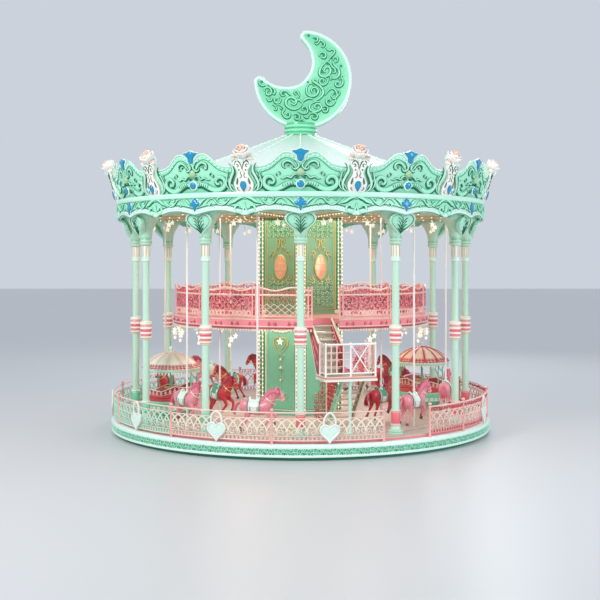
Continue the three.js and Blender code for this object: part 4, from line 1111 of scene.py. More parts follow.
def fence_run(name, start, end, posts, locks, finish):
    """Rails, posts with round tops, scroll strip, crossing arches and heart padlocks of one run."""
    piece = Piece()
    degs = np.linspace(start, end, int((end - start) / 2) + 1)
    low_paint = {"pink_pale": "pink", "cream": "pink_pale"}.get(finish, finish)
    strip_paint = {"pink_pale": "coral", "cream": "pink_pale"}.get(finish, finish)
    for low, high, rail in ((0.48, 0.515, low_paint), (0.595, 0.62, low_paint), (1.028, 1.058, "pink_pale"),
                            (1.17, 1.21, "pink_pale")):
        half = (high - low) / 2
        tube(piece, degs, FENCE_R, (low + high) / 2, half * 1.1, half, rail, 6)
    place = wall(0, FENCE_R)
    first, last = math.radians(start) * FENCE_R, math.radians(end) * FENCE_R
    lattice(piece, place, first, last, 0.61, 1.035, 0.25, finish)
    if finish == "pink_pale":
        thicket(piece, place, (first, 1.062), (last, 1.168), 0.105, 0.2, 0.012, 0.01, "coral", 21)
    cell = Piece()
    for hand in (1, -1):
        path = curl((0, 0.52), [90 - 60 * hand, 90, 90 + 120 * hand, 90 + 260 * hand], 0.12, 5)
        ribbon(cell, place, path, 0.01, 0.01, strip_paint, FLAT, (1, 1))
    count = int((last - first) / 0.105)
    piece.repeat(cell, start + (np.arange(count) + 0.5) * (end - start) / count)
    for deg in posts:
        at = turn((0, -FENCE_R, 0), deg)[:2]
        lathe(piece, [(0.044, 0.4003), (0.044, 0.43), (0.032, 0.45), (0.03, 1.15), (0.036, 1.165), (0.036, 1.2),
                      (0.026, 1.215), (0.05, 1.24), (0.054, 1.26), (0.044, 1.285), (0.012, 1.298)], "post_pink", at, 10,
              [1, 1, 0.8, 1, 1, 1, 0.5, 1, 1, 1, 1])
    for deg in locks:
        padlock(piece, deg)
    piece.make(name + "_wrought", "frame", "pale_pink_steel", name)


def fence():
    """Six runs: the first starts beside the entrance at the right of the front."""
    fence_run("fence_run_1", 37.5, 82.15, (37.5, 52.5), (67.5,), "pink_pale")
    for k, finish in enumerate(("pink_pale", "pink_pale", "mint_grey", "mint_grey", "cream")):
        first = 82.5 + 60 * k
        posts = (first, first + 30) if k < 4 else (first, first + 30, first + 60)
        last = first + (59.65 if k < 4 else 60)
        fence_run("fence_run_%d" % (k + 2), first, last, posts, (first + 15, first + 45), finish)


# Drum, upper deck and its railing

def drum_shell(low, high, ground, edge):
    """Six-sided core with a pilaster at each edge: beads down the middle and bulbs down both sides."""
    piece = Piece()
    six = on_ring(1.3125, 0, SIXTHS)
    loft(piece, np.stack([six + (0, 0, low), six + (0, 0, high)]), ground, 0.75)
    corner = Piece()
    line = [(0, low + 0.2), (0, high - 0.2)]
    box(corner, (-0.124, -1.337, low), (0.124, -1.22, high), "teal_dark", 0.012)
    for u in (-0.096, 0.096):
        box(corner, (u - 0.018, -1.344, low + 0.12), (u + 0.018, -1.32, high - 0.12), edge, 0.006)
        beads(corner, board(0, 1.344, aside=u * 1.22), line, 0.115, 0.021, "lamp_glass", 0.004)
    beads(corner, board(0, 1.337), line, 0.16, 0.024, "white", 0.004)
    for v in (low, high - 0.12):
        box(corner, (-0.14, -1.35, v), (0.14, -1.2, v + 0.12), edge, 0.02)
    piece.repeat(corner, SIXTHS)
    return piece


def frame_lines(side, place, low, high, finishes):
    """Raised lines round a panel, the outer one wider."""
    for inset, width, finish in ((0.15, 0.016, finishes[0]), (0.205, 0.008, finishes[1])):
        u, v0, v1 = 0.656 - inset, low + inset, high - inset
        ribbon(side, place, np.array([(-u, v0), (u, v0), (u, v1), (-u, v1)]), width, 0.022, finish, FLAT, (1, 1), True)


def upper_drum():
    """Upper housing: pointed-oval windows, gilded scrolls and close leafwork at the top and the foot of each side."""
    low, high = DECK_TOP, 6.5
    piece = drum_shell(low, high, "green", "cream")
    side = Piece()
    place = board(30, DRUM_FACE_R)
    frame_lines(side, place, low, high, ("gold", "green_light"))
    for v0, v1, seed in ((3.66, 4.4, 3), (5.66, 6.26, 4)):
        thicket(side, place, (-0.44, v0), (0.44, v1), 0.17, 0.36, 0.014, 0.014, "teal_dark", seed + 5, SLIM)
        thicket(side, place, (-0.44, v0), (0.44, v1), 0.145, 0.3, 0.02, 0.028, "green_light", seed, SLIM)
    t = np.linspace(-1, 1, 15)
    arc = np.stack([0.185 * (1 - t ** 2) ** 0.62, 4.79 + 0.33 * t], 1)
    window = np.concatenate([arc, arc[-2:0:-1] * (-1, 1)])
    medal(side, place, window, ((1.14, 0.0, 0.3), (1.14, 0.03, 1), (1.05, 0.04, 1), (1.0, 0.03, 0.3)), "gold", (0, 4.79))
    medal(side, place, window, ((1, 0.01, 0.6), (1, 0.036, 0.8), (0.4, 0.04, 1)), "mirror_peach", (0, 4.79))
    for path in ([(0, 4.48), (0, 5.1)], [(-0.16, 4.88), (0.16, 4.88)], [(-0.16, 4.7), (0.16, 4.7)]):
        ribbon(side, place, spaced(path, 0.08), 0.008, 0.052, "peach", RAISED, (1, 1))
    scrolls(side, place, (
        ((0.015, 5.2), [80, 60, 100, 120, 60, -40, -150, -260], 0.66, 0.016),
        ((0.02, 5.32), [50, 20, -60, -170, -280], 0.3, 0.013),
        ((0.03, 5.62), [-60, -20, 60, 160, 260], 0.26, 0.012), ((0.02, 4.42), [-30, -70, -150, -250], 0.22, 0.013),
        ((0.25, 4.98), [70, 95, 150, 60, -30, -140], 0.46, 0.018),
        ((0.26, 4.6), [-70, -95, -150, -60, 30, 140], 0.46, 0.018),
        ((0.37, 5.02), [80, 110, 170, 260], 0.26, 0.013), ((0.37, 4.56), [-80, -110, -170, -260], 0.26, 0.013),
    ), "gold", 0.03, 15)
    piece.repeat(side, SIXTHS)
    piece.make("drum_upper_panels", "turntable", "green_panel", "drum_upper")


def lower_drum():
    """Lower housing: cream-lined panels with a swag, a star with a painted glow in a heart of curls, and a pendant
    below.
    """
    low, high = FLOOR_TOP, 3.2997
    piece = drum_shell(low, high, "teal", "cream")
    side = Piece()
    place = board(30, DRUM_FACE_R)
    frame_lines(side, place, low, high, ("rose_white", "green_light"))
    for hand in both(place):
        ribbon(side, hand, curl((0.0, 2.9), [0, 8, 20, 40, 60], 0.5, 10), 0.028, 0.036, "cream", thin=(1, 1, 0.6, 0.2))
        medal(side, hand, oval(0.44, 3.0, 0.045, 0.045, 10), DOMED, "cream")
    # the star's glow is painted light
    side.strew(star(0.115, "star_painted_glow", 0.024), place(0.0, 2.62, 0.06), 30)
    scrolls(side, place, (
        (20, 0, 224, 9, 234, 20, 248, 24, 262, 17, 273, 6, 274, 3, 266, 9, 263),
        (13, 0, 236, 8, 244, 15, 254, 15, 263, 9, 266),
    ), "gold", 0.028)
    scrolls(side, place, (
        ((0.0, 2.2), [-60, -20, 60, 160, 270], 0.24, 0.012), ((0.0, 2.02), [40, 90, 160, 250], 0.22, 0.012),
        ((0.0, 1.72), [20, 60, 140, 240], 0.24, 0.012), ((0.0, 1.62), [-20, -60, -140, -240], 0.24, 0.012),
        ((0.02, 1.06), [50, 20, -40, -140, -260], 0.44, 0.013), ((0.02, 1.02), [-50, -20, 40, 140, 260], 0.38, 0.013),
    ), "green_light", 0.026, 14)
    ribbon(side, place, spaced([(0, 1.22), (0, 2.22)], 0.06), 0.013, 0.02, "green_light", thin=(0.6, 1, 0.6, 1))
    for v, r in ((2.1, 0.034), (1.86, 0.04), (1.5, 0.03)):
        medal(side, place, oval(0, v, r, r * 1.3, 12), DOMED, "cream")
    piece.repeat(side, SIXTHS)
    piece.make("drum_lower_panels", "turntable", "teal_panel", "drum_lower")


def deck_edge():
    """Fascia with panels and a bead fringe, open where the stair passes, and bunches of stars hung under it."""
    piece = Piece()
    degs = np.linspace(15.85, 365.1, 240)
    around(piece, degs, [[3.7, 3.75, 3.772, 3.764, 3.778, 3.784, 3.784, 3.77, 3.784, 3.784, 3.7]],
           [[3.18, 3.145, 3.15, 3.185, 3.195, 3.21, 3.235, 3.245, 3.385, 3.4199, 3.4199]], "fascia_rose",
           [0.2, 0.2, 0.6, 0.2, 0.6, 1, 1, 0.95, 0.95, 1, 1])
    for z in (3.407, 3.222):
        tube(piece, degs, 3.787, z, 0.012, 0.015, "pink_pale")
    tube(piece, degs, 3.762, 3.168, 0.014, 0.016, "crimson", 6)
    cell = Piece()
    place = wall(0, 3.774)
    scrolls(cell, place, (((0.01, 3.315), [40, -10, -80, -190, -320], 0.26, 0.01),
                          ((0.02, 3.3), [-40, 10, 80, 190], 0.16, 0.009)), "coral", 0.014, 8)
    medal(cell, place, oval(0, 3.315, 0.018, 0.024, 10), DOMED, "pink_pale")
    piece.repeat(cell, 20.5 + np.arange(42) * 8.2)
    spots = np.arange(15.9, 365.0, 1.35)
    piece.strew(ball(0.028, "cream", 6, 3, 1.5), on_ring(3.752, 3.118, spots), spots)
    piece.make("deck_fascia_band", "turntable", "pink_paint", "deck_fascia")
    hung, line = Piece(), Piece()
    rod(line, [(0, 0, 0), (0, 0, 0.28)], 0.005, "gold", 5)
    spots = np.array([-118, -100, -84, -66, -48, -30, 30, 46, 64, 82, 100, 118, 140, 162, 184, 206, 224])
    for shift, z, size in ((0.0, 2.86, 0.105), (2.2, 2.95, 0.085), (-0.9, 2.7, 0.065)):
        starry(hung, size, (line, size * 0.8), on_ring(3.742, z, spots + shift), spots + shift)
    hung.make("deck_star_drops", "turntable", "white_paint")


def deck_rail(number, start, end, diamonds):
    """Railing run: two straight rails, a wavy rail above, paired posts, close curls and a row of loops at the foot."""
    piece = Piece()
    degs = np.linspace(start, end, max(6, int((end - start) / 1.5)))
    for mid, half, finish in ((3.49, 0.024, "post_pink"), (4.06, 0.026, "pink_pale")):
        tube(piece, degs, DECK_RAIL_R, mid, half * 0.9, half, finish)
    wave = 4.215 + 0.045 * np.cos(np.radians((degs + 18) * 24))[:, None]
    tube(piece, degs, DECK_RAIL_R, wave, 0.022, 0.024, "pink_pale")
    place = wall(0, DECK_RAIL_R)
    first, last = math.radians(start) * DECK_RAIL_R, math.radians(end) * DECK_RAIL_R
    thicket(piece, place, (first, 4.085), (last, 4.19), 0.13, 0.26, 0.016, 0.01, "coral", number)
    if diamonds:
        count = max(1, int(round((last - first) / 0.2)))
        wide = (last - first) / count
        for k in range(count):
            for low in (3.505, 3.665):
                for a, b in ((0, 1), (1, 0)):
                    line = [(first + (k + a) * wide, low), (first + (k + b) * wide, low + 0.16)]
                    ribbon(piece, place, line, 0.008, 0.01, "pink_pale", FLAT, (1, 1))
        thicket(piece, place, (first, 3.83), (last, 4.035), 0.2, 0.4, 0.013, 0.01, "coral", number)
    else:
        thicket(piece, place, (first, 3.66), (last, 4.04), 0.25, 0.55, 0.02, 0.012, "pink", number)
        thicket(piece, place, (first, 3.66), (last, 4.04), 0.19, 0.44, 0.018, 0.008, "coral", number + 5)
        thicket(piece, place, (first, 3.66), (last, 4.04), 0.19, 0.48, 0.022, 0.005, "crimson", number + 9, LINE)
        tube(piece, degs, DECK_RAIL_R, 3.655, 0.01, 0.012, "pink", 6)
        loop, flower = Piece(), Piece()
        arch = through([(-0.04, 3.5), (-0.056, 3.57), (0, 3.64), (0.056, 3.57), (0.04, 3.5)], 8)
        ribbon(loop, place, arch, 0.014, 0.011, "pink_pale", FLAT, (1, 1))
        thicket(flower, place, (-0.16, 3.51), (0.16, 3.64), 0.11, 0.2, 0.013, 0.012, "coral", number + 20)
        count = max(1, int(round((last - first) / 0.135)))
        for k in range(count):
            piece.take(flower if k % 6 == 3 else loop, start + (k + 0.5) * (end - start) / count)
    pairs = [start + 0.01, start + 1.4, end - 1.4, end - 0.01]
    pairs += [(start + end) / 2 - 0.7, (start + end) / 2 + 0.7] if end - start > 30 else []
    for deg in pairs:
        at = turn((0, -DECK_RAIL_R, 0), deg)[:2]
        lathe(piece, [(0.03, DECK_TOP), (0.03, 3.45), (0.024, 3.46), (0.024, 4.18), (0.03, 4.2), (0.024, 4.23),
                      (0.032, 4.255), (0.022, 4.285)], "post_pink", at, 10)
    for a, b in zip(pairs[::2], pairs[1::2]):
        around(piece, np.linspace(a, b, 3), DECK_RAIL_R + np.array([-0.006, 0.006, 0.006, -0.006]),
               [3.5, 3.5, 4.05, 4.05], "crimson", 0.6)
    piece.make("deck_rail_%d_openwork" % number, "turntable", "pink_paint", "deck_rail_%d" % number)


def deck_rails():
    """Seven runs, from the left of the stair round to its right; the first, over the stair, has crossed bars."""
    runs = [(-17.2, 4.6), (16.3, 41.2)] + [(42.8 + 60 * k, 101.2 + 60 * k) for k in range(5)]
    for number, (start, end) in enumerate(runs, 1):
        deck_rail(number, start, end, number == 1)


# Stairs

def stair_side(piece, inner, outer, top, foot, plate, guard, paints, curls):
    """Side plate of a flight: a slab between two sloping lines, a cap rail on each and openwork curls on both faces."""
    (r0, z0), (r1, z1) = top, foot
    side_paint, cap_paint, curl_paint = paints
    s = np.linspace(0, 1, 12)[:, None]
    rho = r0 + (r1 - r0) * s
    high = z0 + (z1 + guard - z0) * s
    low = np.maximum(z0 - plate + (z1 - z0) * s, z1)
    rings = joined([inner, outer, outer, inner], -rho, np.concatenate([low, low, high, high], 1))
    loft(piece, rings, side_paint, [0.35, 0.35, 1, 1])
    middle, half = (inner + outer) / 2, (outer - inner) / 2
    for heights, spread in ((high - 0.002, 0.014), (low + 0.014, 0.008)):
        path = joined(middle, -rho[:, 0], heights[:, 0])
        cap = [(-half - spread, -0.015), (half + spread, -0.015), (half + 0.008, 0.014), (-half - 0.008, 0.014)]
        bar(piece, path, cap, cap_paint, (0, 0, 1))
    long = abs(r1 - r0)
    for face in (-1, 1):
        for k in range(curls):
            at = (k + 0.6) / (curls + 0.2)
            tall = plate + guard * at
            for spot, hand in ((0.72, 1), (0.34, -1)) if tall > 0.4 else ((0.5, 1 if k % 2 else -1),):
                path = curl((0, 0), np.array([0, 50, 130, 230, 350]) * hand + 90 * k, 0.72 * min(tall, 0.42), 10)
                path = (path - path.mean(0)) / (long, tall) + (at, spot)
                share, rise = np.clip(path, (0.02, 0.1), (0.98, 0.9)).T
                base = np.maximum(z0 - plate + (z1 - z0) * share, z1)
                tops = z0 + (z1 + guard - z0) * share
                solid = joined(middle + face * (half + 0.004), -(r0 + (r1 - r0) * share), base + (tops - base) * rise)
                rod(piece, solid, 0.012, curl_paint, 5)


def stair_flight(name, node, slot, top, foot, left, right, plate, guard, paints, curls, closed):
    """Flight between two side plates: treads with a pale nosing, and a riser under each if it is closed."""
    (r0, z0), (r1, z1) = top, foot
    local = Piece()
    for inner, side_paints in ((left, paints[0]), (right, paints[1])):
        stair_side(local, inner, inner + 0.036, top, foot, plate, guard, side_paints, curls)
    rise, run = (z0 - z1) / 8, (r1 - r0) / 8
    step_paint = "canopy_cream" if closed else "tread"
    for i in range(1, 8):
        r = r0 + run * (i - 0.4)
        z = z0 - rise * i
        box(local, (left + 0.03, -r - 0.09, z - 0.032), (right + 0.006, -r + 0.09, z), step_paint, 0.006)
        nose = -r - 0.088 if r1 > r0 else -r + 0.088
        box(local, (left + 0.03, nose - 0.012, z - 0.036), (right + 0.006, nose + 0.012, z + 0.004), "cream", 0.005)
        if closed:
            back = -r + 0.02
            box(local, (left + 0.03, back, z - rise + 0.012), (right + 0.006, back + 0.014, z - 0.03), step_paint, 0.004)
    if closed:
        box(local, (left + 0.04, -r0 - 0.022, z0 - rise + 0.006), (right - 0.004, -r0 - 0.006, z0 - 0.006),
            "fascia_rose", 0.004)
    local.placed(STAIR_AT).make(name, "turntable", slot, node)


def landing_slab():
    """Landing with its round post, a cream nosing and a pink line along its open sides."""
    local = Piece()
    corner = np.array([(-0.7, 3.8), (0.7, 3.8), (0.7, 4.62), (-0.63, 4.62), (-0.68, 4.6), (-0.7, 4.55)])
    middle = corner.mean(0)
    rings = [np.column_stack([((corner - middle) * g + middle) * (1, -1), np.full(len(corner), z)])
             for g, z in ((0.985, 1.85), (1, 1.862), (1, 1.958), (0.985, 1.97))]
    loft(local, rings, "cream", [[0.6], [1], [1], [1]])
    shift = np.array((0, 0.02, 0.001))
    loft(local, [(rings[3] + shift) * (0.97, 1, 1), (rings[3] + shift + (0, 0, 0.004)) * (0.97, 1, 1)], "tread")
    edge = np.array([(-0.7, -3.82), (-0.7, -4.52), (-0.68, -4.59), (-0.62, -4.62), (0.7, -4.62), (0.7, -3.82)])
    for height, half, finish, out in ((1.885, 0.03, "white", 0.008), (1.945, 0.012, "pink", 0.004)):
        path = np.column_stack([edge * (1 + out), np.full(len(edge), height)])
        bar(local, path, [(-0.012, -half), (0.012, -half), (0.012, half), (-0.012, half)], finish, (0, 0, 1))
    lathe(local, [(0.075, FLOOR_TOP), (0.075, 0.51), (0.045, 0.53), (0.042, 1.72), (0.075, 1.8), (0.085, 1.85)],
          "mint_pale", (0, -4.54), 16)
    local.placed(STAIR_AT).make("landing_slab", "turntable", "mint_paint", "landing")


def stair_screen():
    """Openwork screen on the left of the lower flight: a newel at the flight's foot, a rail back to the landing and
    close curls above the side plate."""
    local = Piece()
    side, foot, top = 0.026, 2.5, 1.83
    lathe(local, [(0.034, FLOOR_TOP), (0.034, 0.52), (0.022, 0.54), (0.022, 1.84), (0.03, 1.86), (0.012, 1.89)],
          "pink_pale", (side, -foot), 10)
    rod(local, [(side, -foot, top), (side, -3.79, top)], 0.016, "pink_pale")

    def place(u, v, w):
        return joined(side - w, -u, v)

    def above(u, v):
        return v > FLOOR_TOP + (u - foot) * 1.155 + 0.13
    for step, size, width, finish, seed in ((0.15, 0.34, 0.014, "coral", 31), (0.12, 0.26, 0.01, "crimson", 32)):
        thicket(local, place, (foot + 0.03, 0.62), (3.72, top - 0.02), step, size, width, 0.01, finish, seed, FLAT, above)
        thicket(local, board(0, foot), (-0.34, 0.52), (-0.02, 1.62), step, size, width, 0.01, finish, seed + 4, FLAT,
                lambda u, v: v < 1.6 - 5.5 * u * u)
    local.placed(STAIR_AT).make("stair_screen", "turntable", "coral_paint")


def landing_rail():
    """Railing of the landing: upright bars on the left half, crossed bars over close curls on the right half."""
    local = Piece()
    corners = [(-0.68, -4.1), (-0.68, -4.6), (0.0, -4.6), (0.68, -4.6), (0.68, -3.83)]
    for z, radius in ((2.06, 0.02), (2.81, 0.026)):
        for a, b in zip(corners[:-1], corners[1:]):
            rod(local, [(*a, z), (*b, z)], radius, "rose_white")
    for x, y in corners:
        lathe(local, [(0.03, LANDING_TOP), (0.03, 1.99), (0.026, 2.0), (0.026, 2.83), (0.032, 2.845), (0.012, 2.86)],
              "rose_white", (x, y), 10)
    for x in (-0.53, -0.38, -0.2):
        rod(local, [(x, -4.6, 2.06), (x, -4.6, 2.81)], 0.02, "pink_pale")
    for z in (2.24, 2.42, 2.6):
        rod(local, [(-0.68, -4.6, z), (0, -4.6, z)], 0.01, "pink_pale", 6)
        rod(local, [(-0.68, -4.1, z), (-0.68, -4.6, z)], 0.01, "pink_pale", 6)
    for y in (-4.44, -4.27):
        rod(local, [(-0.68, y, 2.06), (-0.68, y, 2.81)], 0.012, "pink_pale", 6)
    for a, b in ((2.06, 2.81), (2.81, 2.06)):
        rod(local, [(0.0, -4.6, a), (0.5, -4.6, b)], 0.018, "rose_white")
        rod(local, [(0.68, -4.58, a), (0.68, -3.86, b)], 0.014, "rose_white")
    for x, finish in ((0.5, "pink_pale"), (0.6, "pink")):
        rod(local, [(x, -4.6, 2.06), (x, -4.6, 2.81)], 0.018, finish)
    for step, size, width, finish, seed in ((0.15, 0.3, 0.012, "pink", 41), (0.17, 0.34, 0.01, "coral", 42)):
        thicket(local, board(0, 4.6), (0.04, 2.08), (0.48, 2.78), step, size, width, 0.008, finish, seed)
    local.placed(STAIR_AT).make("landing_rail_white", "turntable", "white_paint", "landing_rail")


def stairs():
    """Upper flight with red sides and risers, open lower flight, its screen, the landing and the landing's railing."""
    crimson = ("crimson", "cream", "pink")
    stair_flight("upper_flight_open", "upper_flight", "coral_paint", (3.1753, 3.418), (4.06, LANDING_TOP), -0.7, -0.072,
                 0.3, 0.83, (crimson, crimson), 7, True)
    stair_flight("lower_flight_open", "lower_flight", "mint_paint", (3.7997, 1.968), (2.52, FLOOR_TOP), 0.05, 0.68, 0.24,
                 0.12, (("teal", "mint_pale", "mint"), ("sage", "cream", "taupe")), 6, False)
    stair_screen()
    landing_slab()
    landing_rail()


# Carriages, crown frame

def tub():
    """Carriage tub with its doorway to the front: scrolled foot, ribbed wall with a wavy top, bench, wheel and post."""
    made = Piece()
    lathe(made, [(0.5, RIM_TOP), (0.52, 0.5), (0.53, 0.55), (0.56, 0.6), (0.62, 0.65), (0.7, 0.695), (0.712, 0.72),
                 (0.7, TUB_FLOOR)], "mint", (0, 0), 48, [0.5, 0.9, 0.3, 0.4, 0.5, 0.8, 1, 1])
    for k in range(14):
        place = wall(25.7 * k, 0.6, 1.35, 0.62)
        scrolls(made, place, (((0.01, 0.6), [40, 10, -60, -180, -300], 0.21, 0.012),), "rose_white", 0.014, 9)
    degs = np.linspace(30, 330, 91)
    tops = [1.18, 1.3, 1.25, 1.4, 1.33, 1.42, 1.33, 1.4, 1.25, 1.3, 1.18]
    top = along(91, tops)[:, None]
    around(made, degs, [0.64, 0.702, 0.706, 0.712, 0.716, 0.64], [TUB_FLOOR, TUB_FLOOR, 0.8, 0.9, 0.965, 0.965], "mint",
           [0.5, 0.6, 0.4, 0.4, 0.8, 0.8])
    low = 0.966
    rows = np.array([[0, 0.06, 0.26, 0.3, 0.34, 0.54, 0.58, 0.6, 0.64, 0.66, 1.0, 1.0, 0.5, 0]])
    out = np.array([[0, 0.014, 0.016, 0, 0.012, 0.014, 0.0, 0.018, 0.018, 0.0, 0, -0.045, -0.055, -0.06]])
    heights = low + (top - low) * rows
    # the zeros put painted shade in the grooves between the mouldings
    around(made, degs, 0.722 + 0.033 * (heights - low) / (top - low) + out, heights, "coral",
           [0.5, 1, 1, 0.0, 0.9, 1, 0.0, 1, 1, 0.0, 0.0, 0.8, 0.9, 0.8])
    tube(made, degs, 0.752, low + (top - low) * 0.6, 0.01, 0.01, "pink_pale", 6)
    for deg in np.arange(36, 328, 13):
        scrolls(made, wall(deg, 0.704, 0.06, TUB_FLOOR), (((0.01, 0.76), [60, 20, -80, -190, -310], 0.24, 0.013),),
                "rose_white", 0.012, 9)
    tube(made, degs, 0.735, top, 0.03, 0.018, "pink_pale")
    for deg in (30, 330):
        rod(made, turn([(0, -0.7, TUB_FLOOR), (0, -0.74, 1.19)], deg), 0.026, "white_mint")
    for deg in np.arange(36, 328, 9.8):
        place = wall(deg, 0.75, 0.03, 1.0)
        high = float(np.interp(deg, np.linspace(30, 330, 11), tops))
        scrolls(made, place, (
            ((0.008, low + (high - low) * 0.71), [60, 20, -80, -190, -310], 0.2, 0.012),
            ((0.03, low + (high - low) * 0.85), [70, 20, -80, -190], 0.09, 0.009),
        ), "pink_pale", 0.012, 8)
    around(made, np.linspace(70, 290, 60), [0.38, 0.4, 0.645, 0.66, 0.66, 0.38],
           [0.9, 0.928, 0.928, 0.9, TUB_FLOOR, TUB_FLOOR], "seat_cream")
    around(made, np.linspace(75, 285, 60), [0.56, 0.6, 0.655, 0.655, 0.58], [0.93, 1.16, 1.18, 0.93, 0.93], "seat_cream")
    lathe(made, [(0.05, TUB_FLOOR), (0.05, 0.78), (0.036, 0.8), (0.034, 2.1), (0.05, 2.15), (0.06, 2.2), (0.05, 2.2395)],
          "mint_deep", sides=16)
    rod(made, np.pad(circle(20) * 0.2, ((0, 0), (0, 1))) + (0, 0, 1.3), 0.014, "gold", loop=True)
    for k in range(4):
        rod(made, turn([(0, -0.03, 1.27), (0, -0.195, 1.3)], 90 * k), 0.009, "gold", 6)
    for deg in (40, 160, 200, 320):
        post = through([(0, -0.72, 1.24), (0, -0.76, 1.4), (0, -0.745, 1.58), (0, -0.765, 1.79)], 12)
        brace = through([(0, -0.752, 1.5), (0, -0.66, 1.6), (0, -0.6, 1.7), (0, -0.66, 1.78)], 10)
        rod(made, turn(post, deg), 0.02, "mint_deep")
        rod(made, turn(brace, deg), 0.014, "mint_deep", 6)
    return made


def lid(gore_paint, rib_paint, rib):
    """Carriage canopy: ribbed dome with a lace border, a pale rim with a fringe of drops, and a ball on top."""
    made = Piece()
    a = np.arange(72) * 2 * math.pi / 72
    degs = np.degrees(a)
    gore = np.abs(np.cos(a * 6))[:, None]
    dome = np.array([(0.02, 2.345), (0.1, 2.325), (0.28, 2.275), (0.48, 2.195), (0.64, 2.09), (0.76, 1.98), (0.825, 1.885)])
    under = dome[::-1] - (0.0, 0.05)
    radii = np.concatenate([dome[:, 0], under[:, 0]])[None] * (1 - 0.02 * gore)
    heights = np.concatenate([dome[:, 1], under[:, 1]])[None] + 0 * gore
    # painted shade darkens each gore towards the ribs
    around(made, degs, radii, heights, gore_paint, 0.35 + 0.6 * gore, True)
    for k in range(12):
        path = turn([(0, -r, z + 0.006) for r, z in dome], 30 * k + 15)
        bar(made, path, circle(6) * (rib, 0.014), rib_paint, (0, 0, 1))
    for k in range(48):
        place = wall(7.5 * k, 0.79, -0.85, 1.95)
        for low, width, finish in ((1.895, 0.012, "coral"), (1.95, 0.009, "coral"), (1.99, 0.006, "pink")):
            scrolls(made, place, (((0.004, low), [70, 20, -70, -190], 0.085, width),), finish, 0.012, 7)
    tube(made, degs, 0.832, 1.882, 0.016, 0.014, "rose_white", loop=True)
    around(made, degs, [0.79, 0.832, 0.84, 0.834, 0.8], [1.8, 1.8, 1.84, 1.872, 1.88], "mint_grey",
           [0.2, 0.4, 0.8, 0.4, 0.4], True)
    drop = Piece()
    medal(drop, board(0, 0), [(-0.028, 0.0), (0.028, 0.0), (0.026, -0.03), (0, -0.085), (-0.026, -0.03)],
          ((0.7, -0.009, 1), (1, -0.003, 1), (1, 0.003, 1), (0.7, 0.009, 1)), "white")
    spots = np.arange(56) * 360 / 56
    made.strew(drop, on_ring(0.82, 1.802, spots), spots)
    lathe(made, [(0.08, 2.33), (0.085, 2.345), (0.05, 2.36), (0.03, 2.375), (0.055, 2.395), (0.068, 2.425), (0.055, 2.462),
                 (0.015, 2.495)], "white_mint", sides=20)
    lathe(made, [(0.06, 2.2405), (0.1, 2.26), (0.1, 2.29)], "mint", sides=20)
    return made


def carriages():
    """Two carriages: the tubs' doorways look sideways along the walk, the canopies are whole rounds."""
    for number, deg, dome in (1, -75, ("canopy_cream", "pink_pale", 0.014)), (2, 105, ("canopy_peach", "coral", 0.03)):
        for label, slot, shape in ("tub", "coral_fibreglass", tub().placed(-30)), ("canopy", "mint_fibreglass", lid(*dome)):
            node = "carriage_%s_%d" % (label, number)
            shape.placed(deg, (0, -CARRIAGE_R, 0)).make(node + "_moulded", "turntable", slot, node)


def crown():
    """Gilded crown frame: collar, twelve moulded arms, two rings with a sleeve for each pole, and hanging stars."""
    piece = Piece()
    around(piece, SIXTHS, [1.335, 1.49, 1.5, 1.5, 1.49, 1.335], [6.231, 6.231, 6.245, 6.335, 6.349, 6.349], "gold", 0.8,
           True)
    arm = Piece()
    box(arm, (-0.044, -4.64, 6.235), (0.044, -1.34, 6.345), "cream", 0.008)
    for u in (-0.052, 0.052):
        rod(arm, [(u, -1.5, 6.246), (u, -4.62, 6.246)], 0.012, "gold", 6)
    arm.strew(ball(0.022, "lamp_glass", 5, 2), spaced([(0, -1.7, 6.226), (0, -4.5, 6.226)], 0.28))
    piece.repeat(arm, range(15, 360, 30))
    section = np.array([(-0.042, -0.042), (0.042, -0.042), (0.046, 0), (0.042, 0.042), (-0.042, 0.042), (-0.046, 0)])
    for ring, poles in ((OUTER_R, OUTER_HORSES), (INNER_R, INNER_HORSES)):
        gap = math.degrees(0.032 / ring)
        stops = sorted(d % 360 for d in poles)
        for a, b in zip(stops, stops[1:] + [stops[0] + 360]):
            degs = np.linspace(a + gap, b - gap, max(6, int((b - a) / 2)))
            around(piece, degs, ring + section[:, 0], 6.29 + section[:, 1], "cream", 0.9)
        sleeve = Piece()
        side = [(0.0295, 0, -0.055), (0.052, 0, -0.055), (0.056, 0, 0), (0.052, 0, 0.055), (0.0295, 0, 0.055)]
        loft(sleeve, turn([side], (np.arange(14) * 360 / 14)[:, None]), "brass_dull", 0.9, True)
        piece.strew(sleeve, on_ring(ring, 6.29, poles))
    piece.make("crown_frame_gilded", "turntable", "gold_paint", "crown_frame")
    hung, line = Piece(), Piece()
    rod(line, [(0, 0, 0.06), (0, 0, 0.34)], 0.005, "gold", 5)
    for z, size, first in ((5.97, 0.105, 7.5), (6.02, 0.08, 9.8), (5.97, 0.105, 22.5), (5.9, 0.075, 24.6)):
        spots = np.arange(first, 360, 30)
        starry(hung, size, (line, 0), on_ring(4.55, z, spots), spots)
    hung.make("crown_star_drops", "turntable", "white_paint")


# Horses

def limb(piece, joints, radii, finish, squeeze=0.85, sides=8):
    """Leg or ear: a circle carried through its joints, narrower sideways than along the horse."""
    count = len(joints) * 3
    bar(piece, through(joints, count), circle(sides) * (squeeze, 1.0), finish, (1, 0, 0.2), along(count, radii))


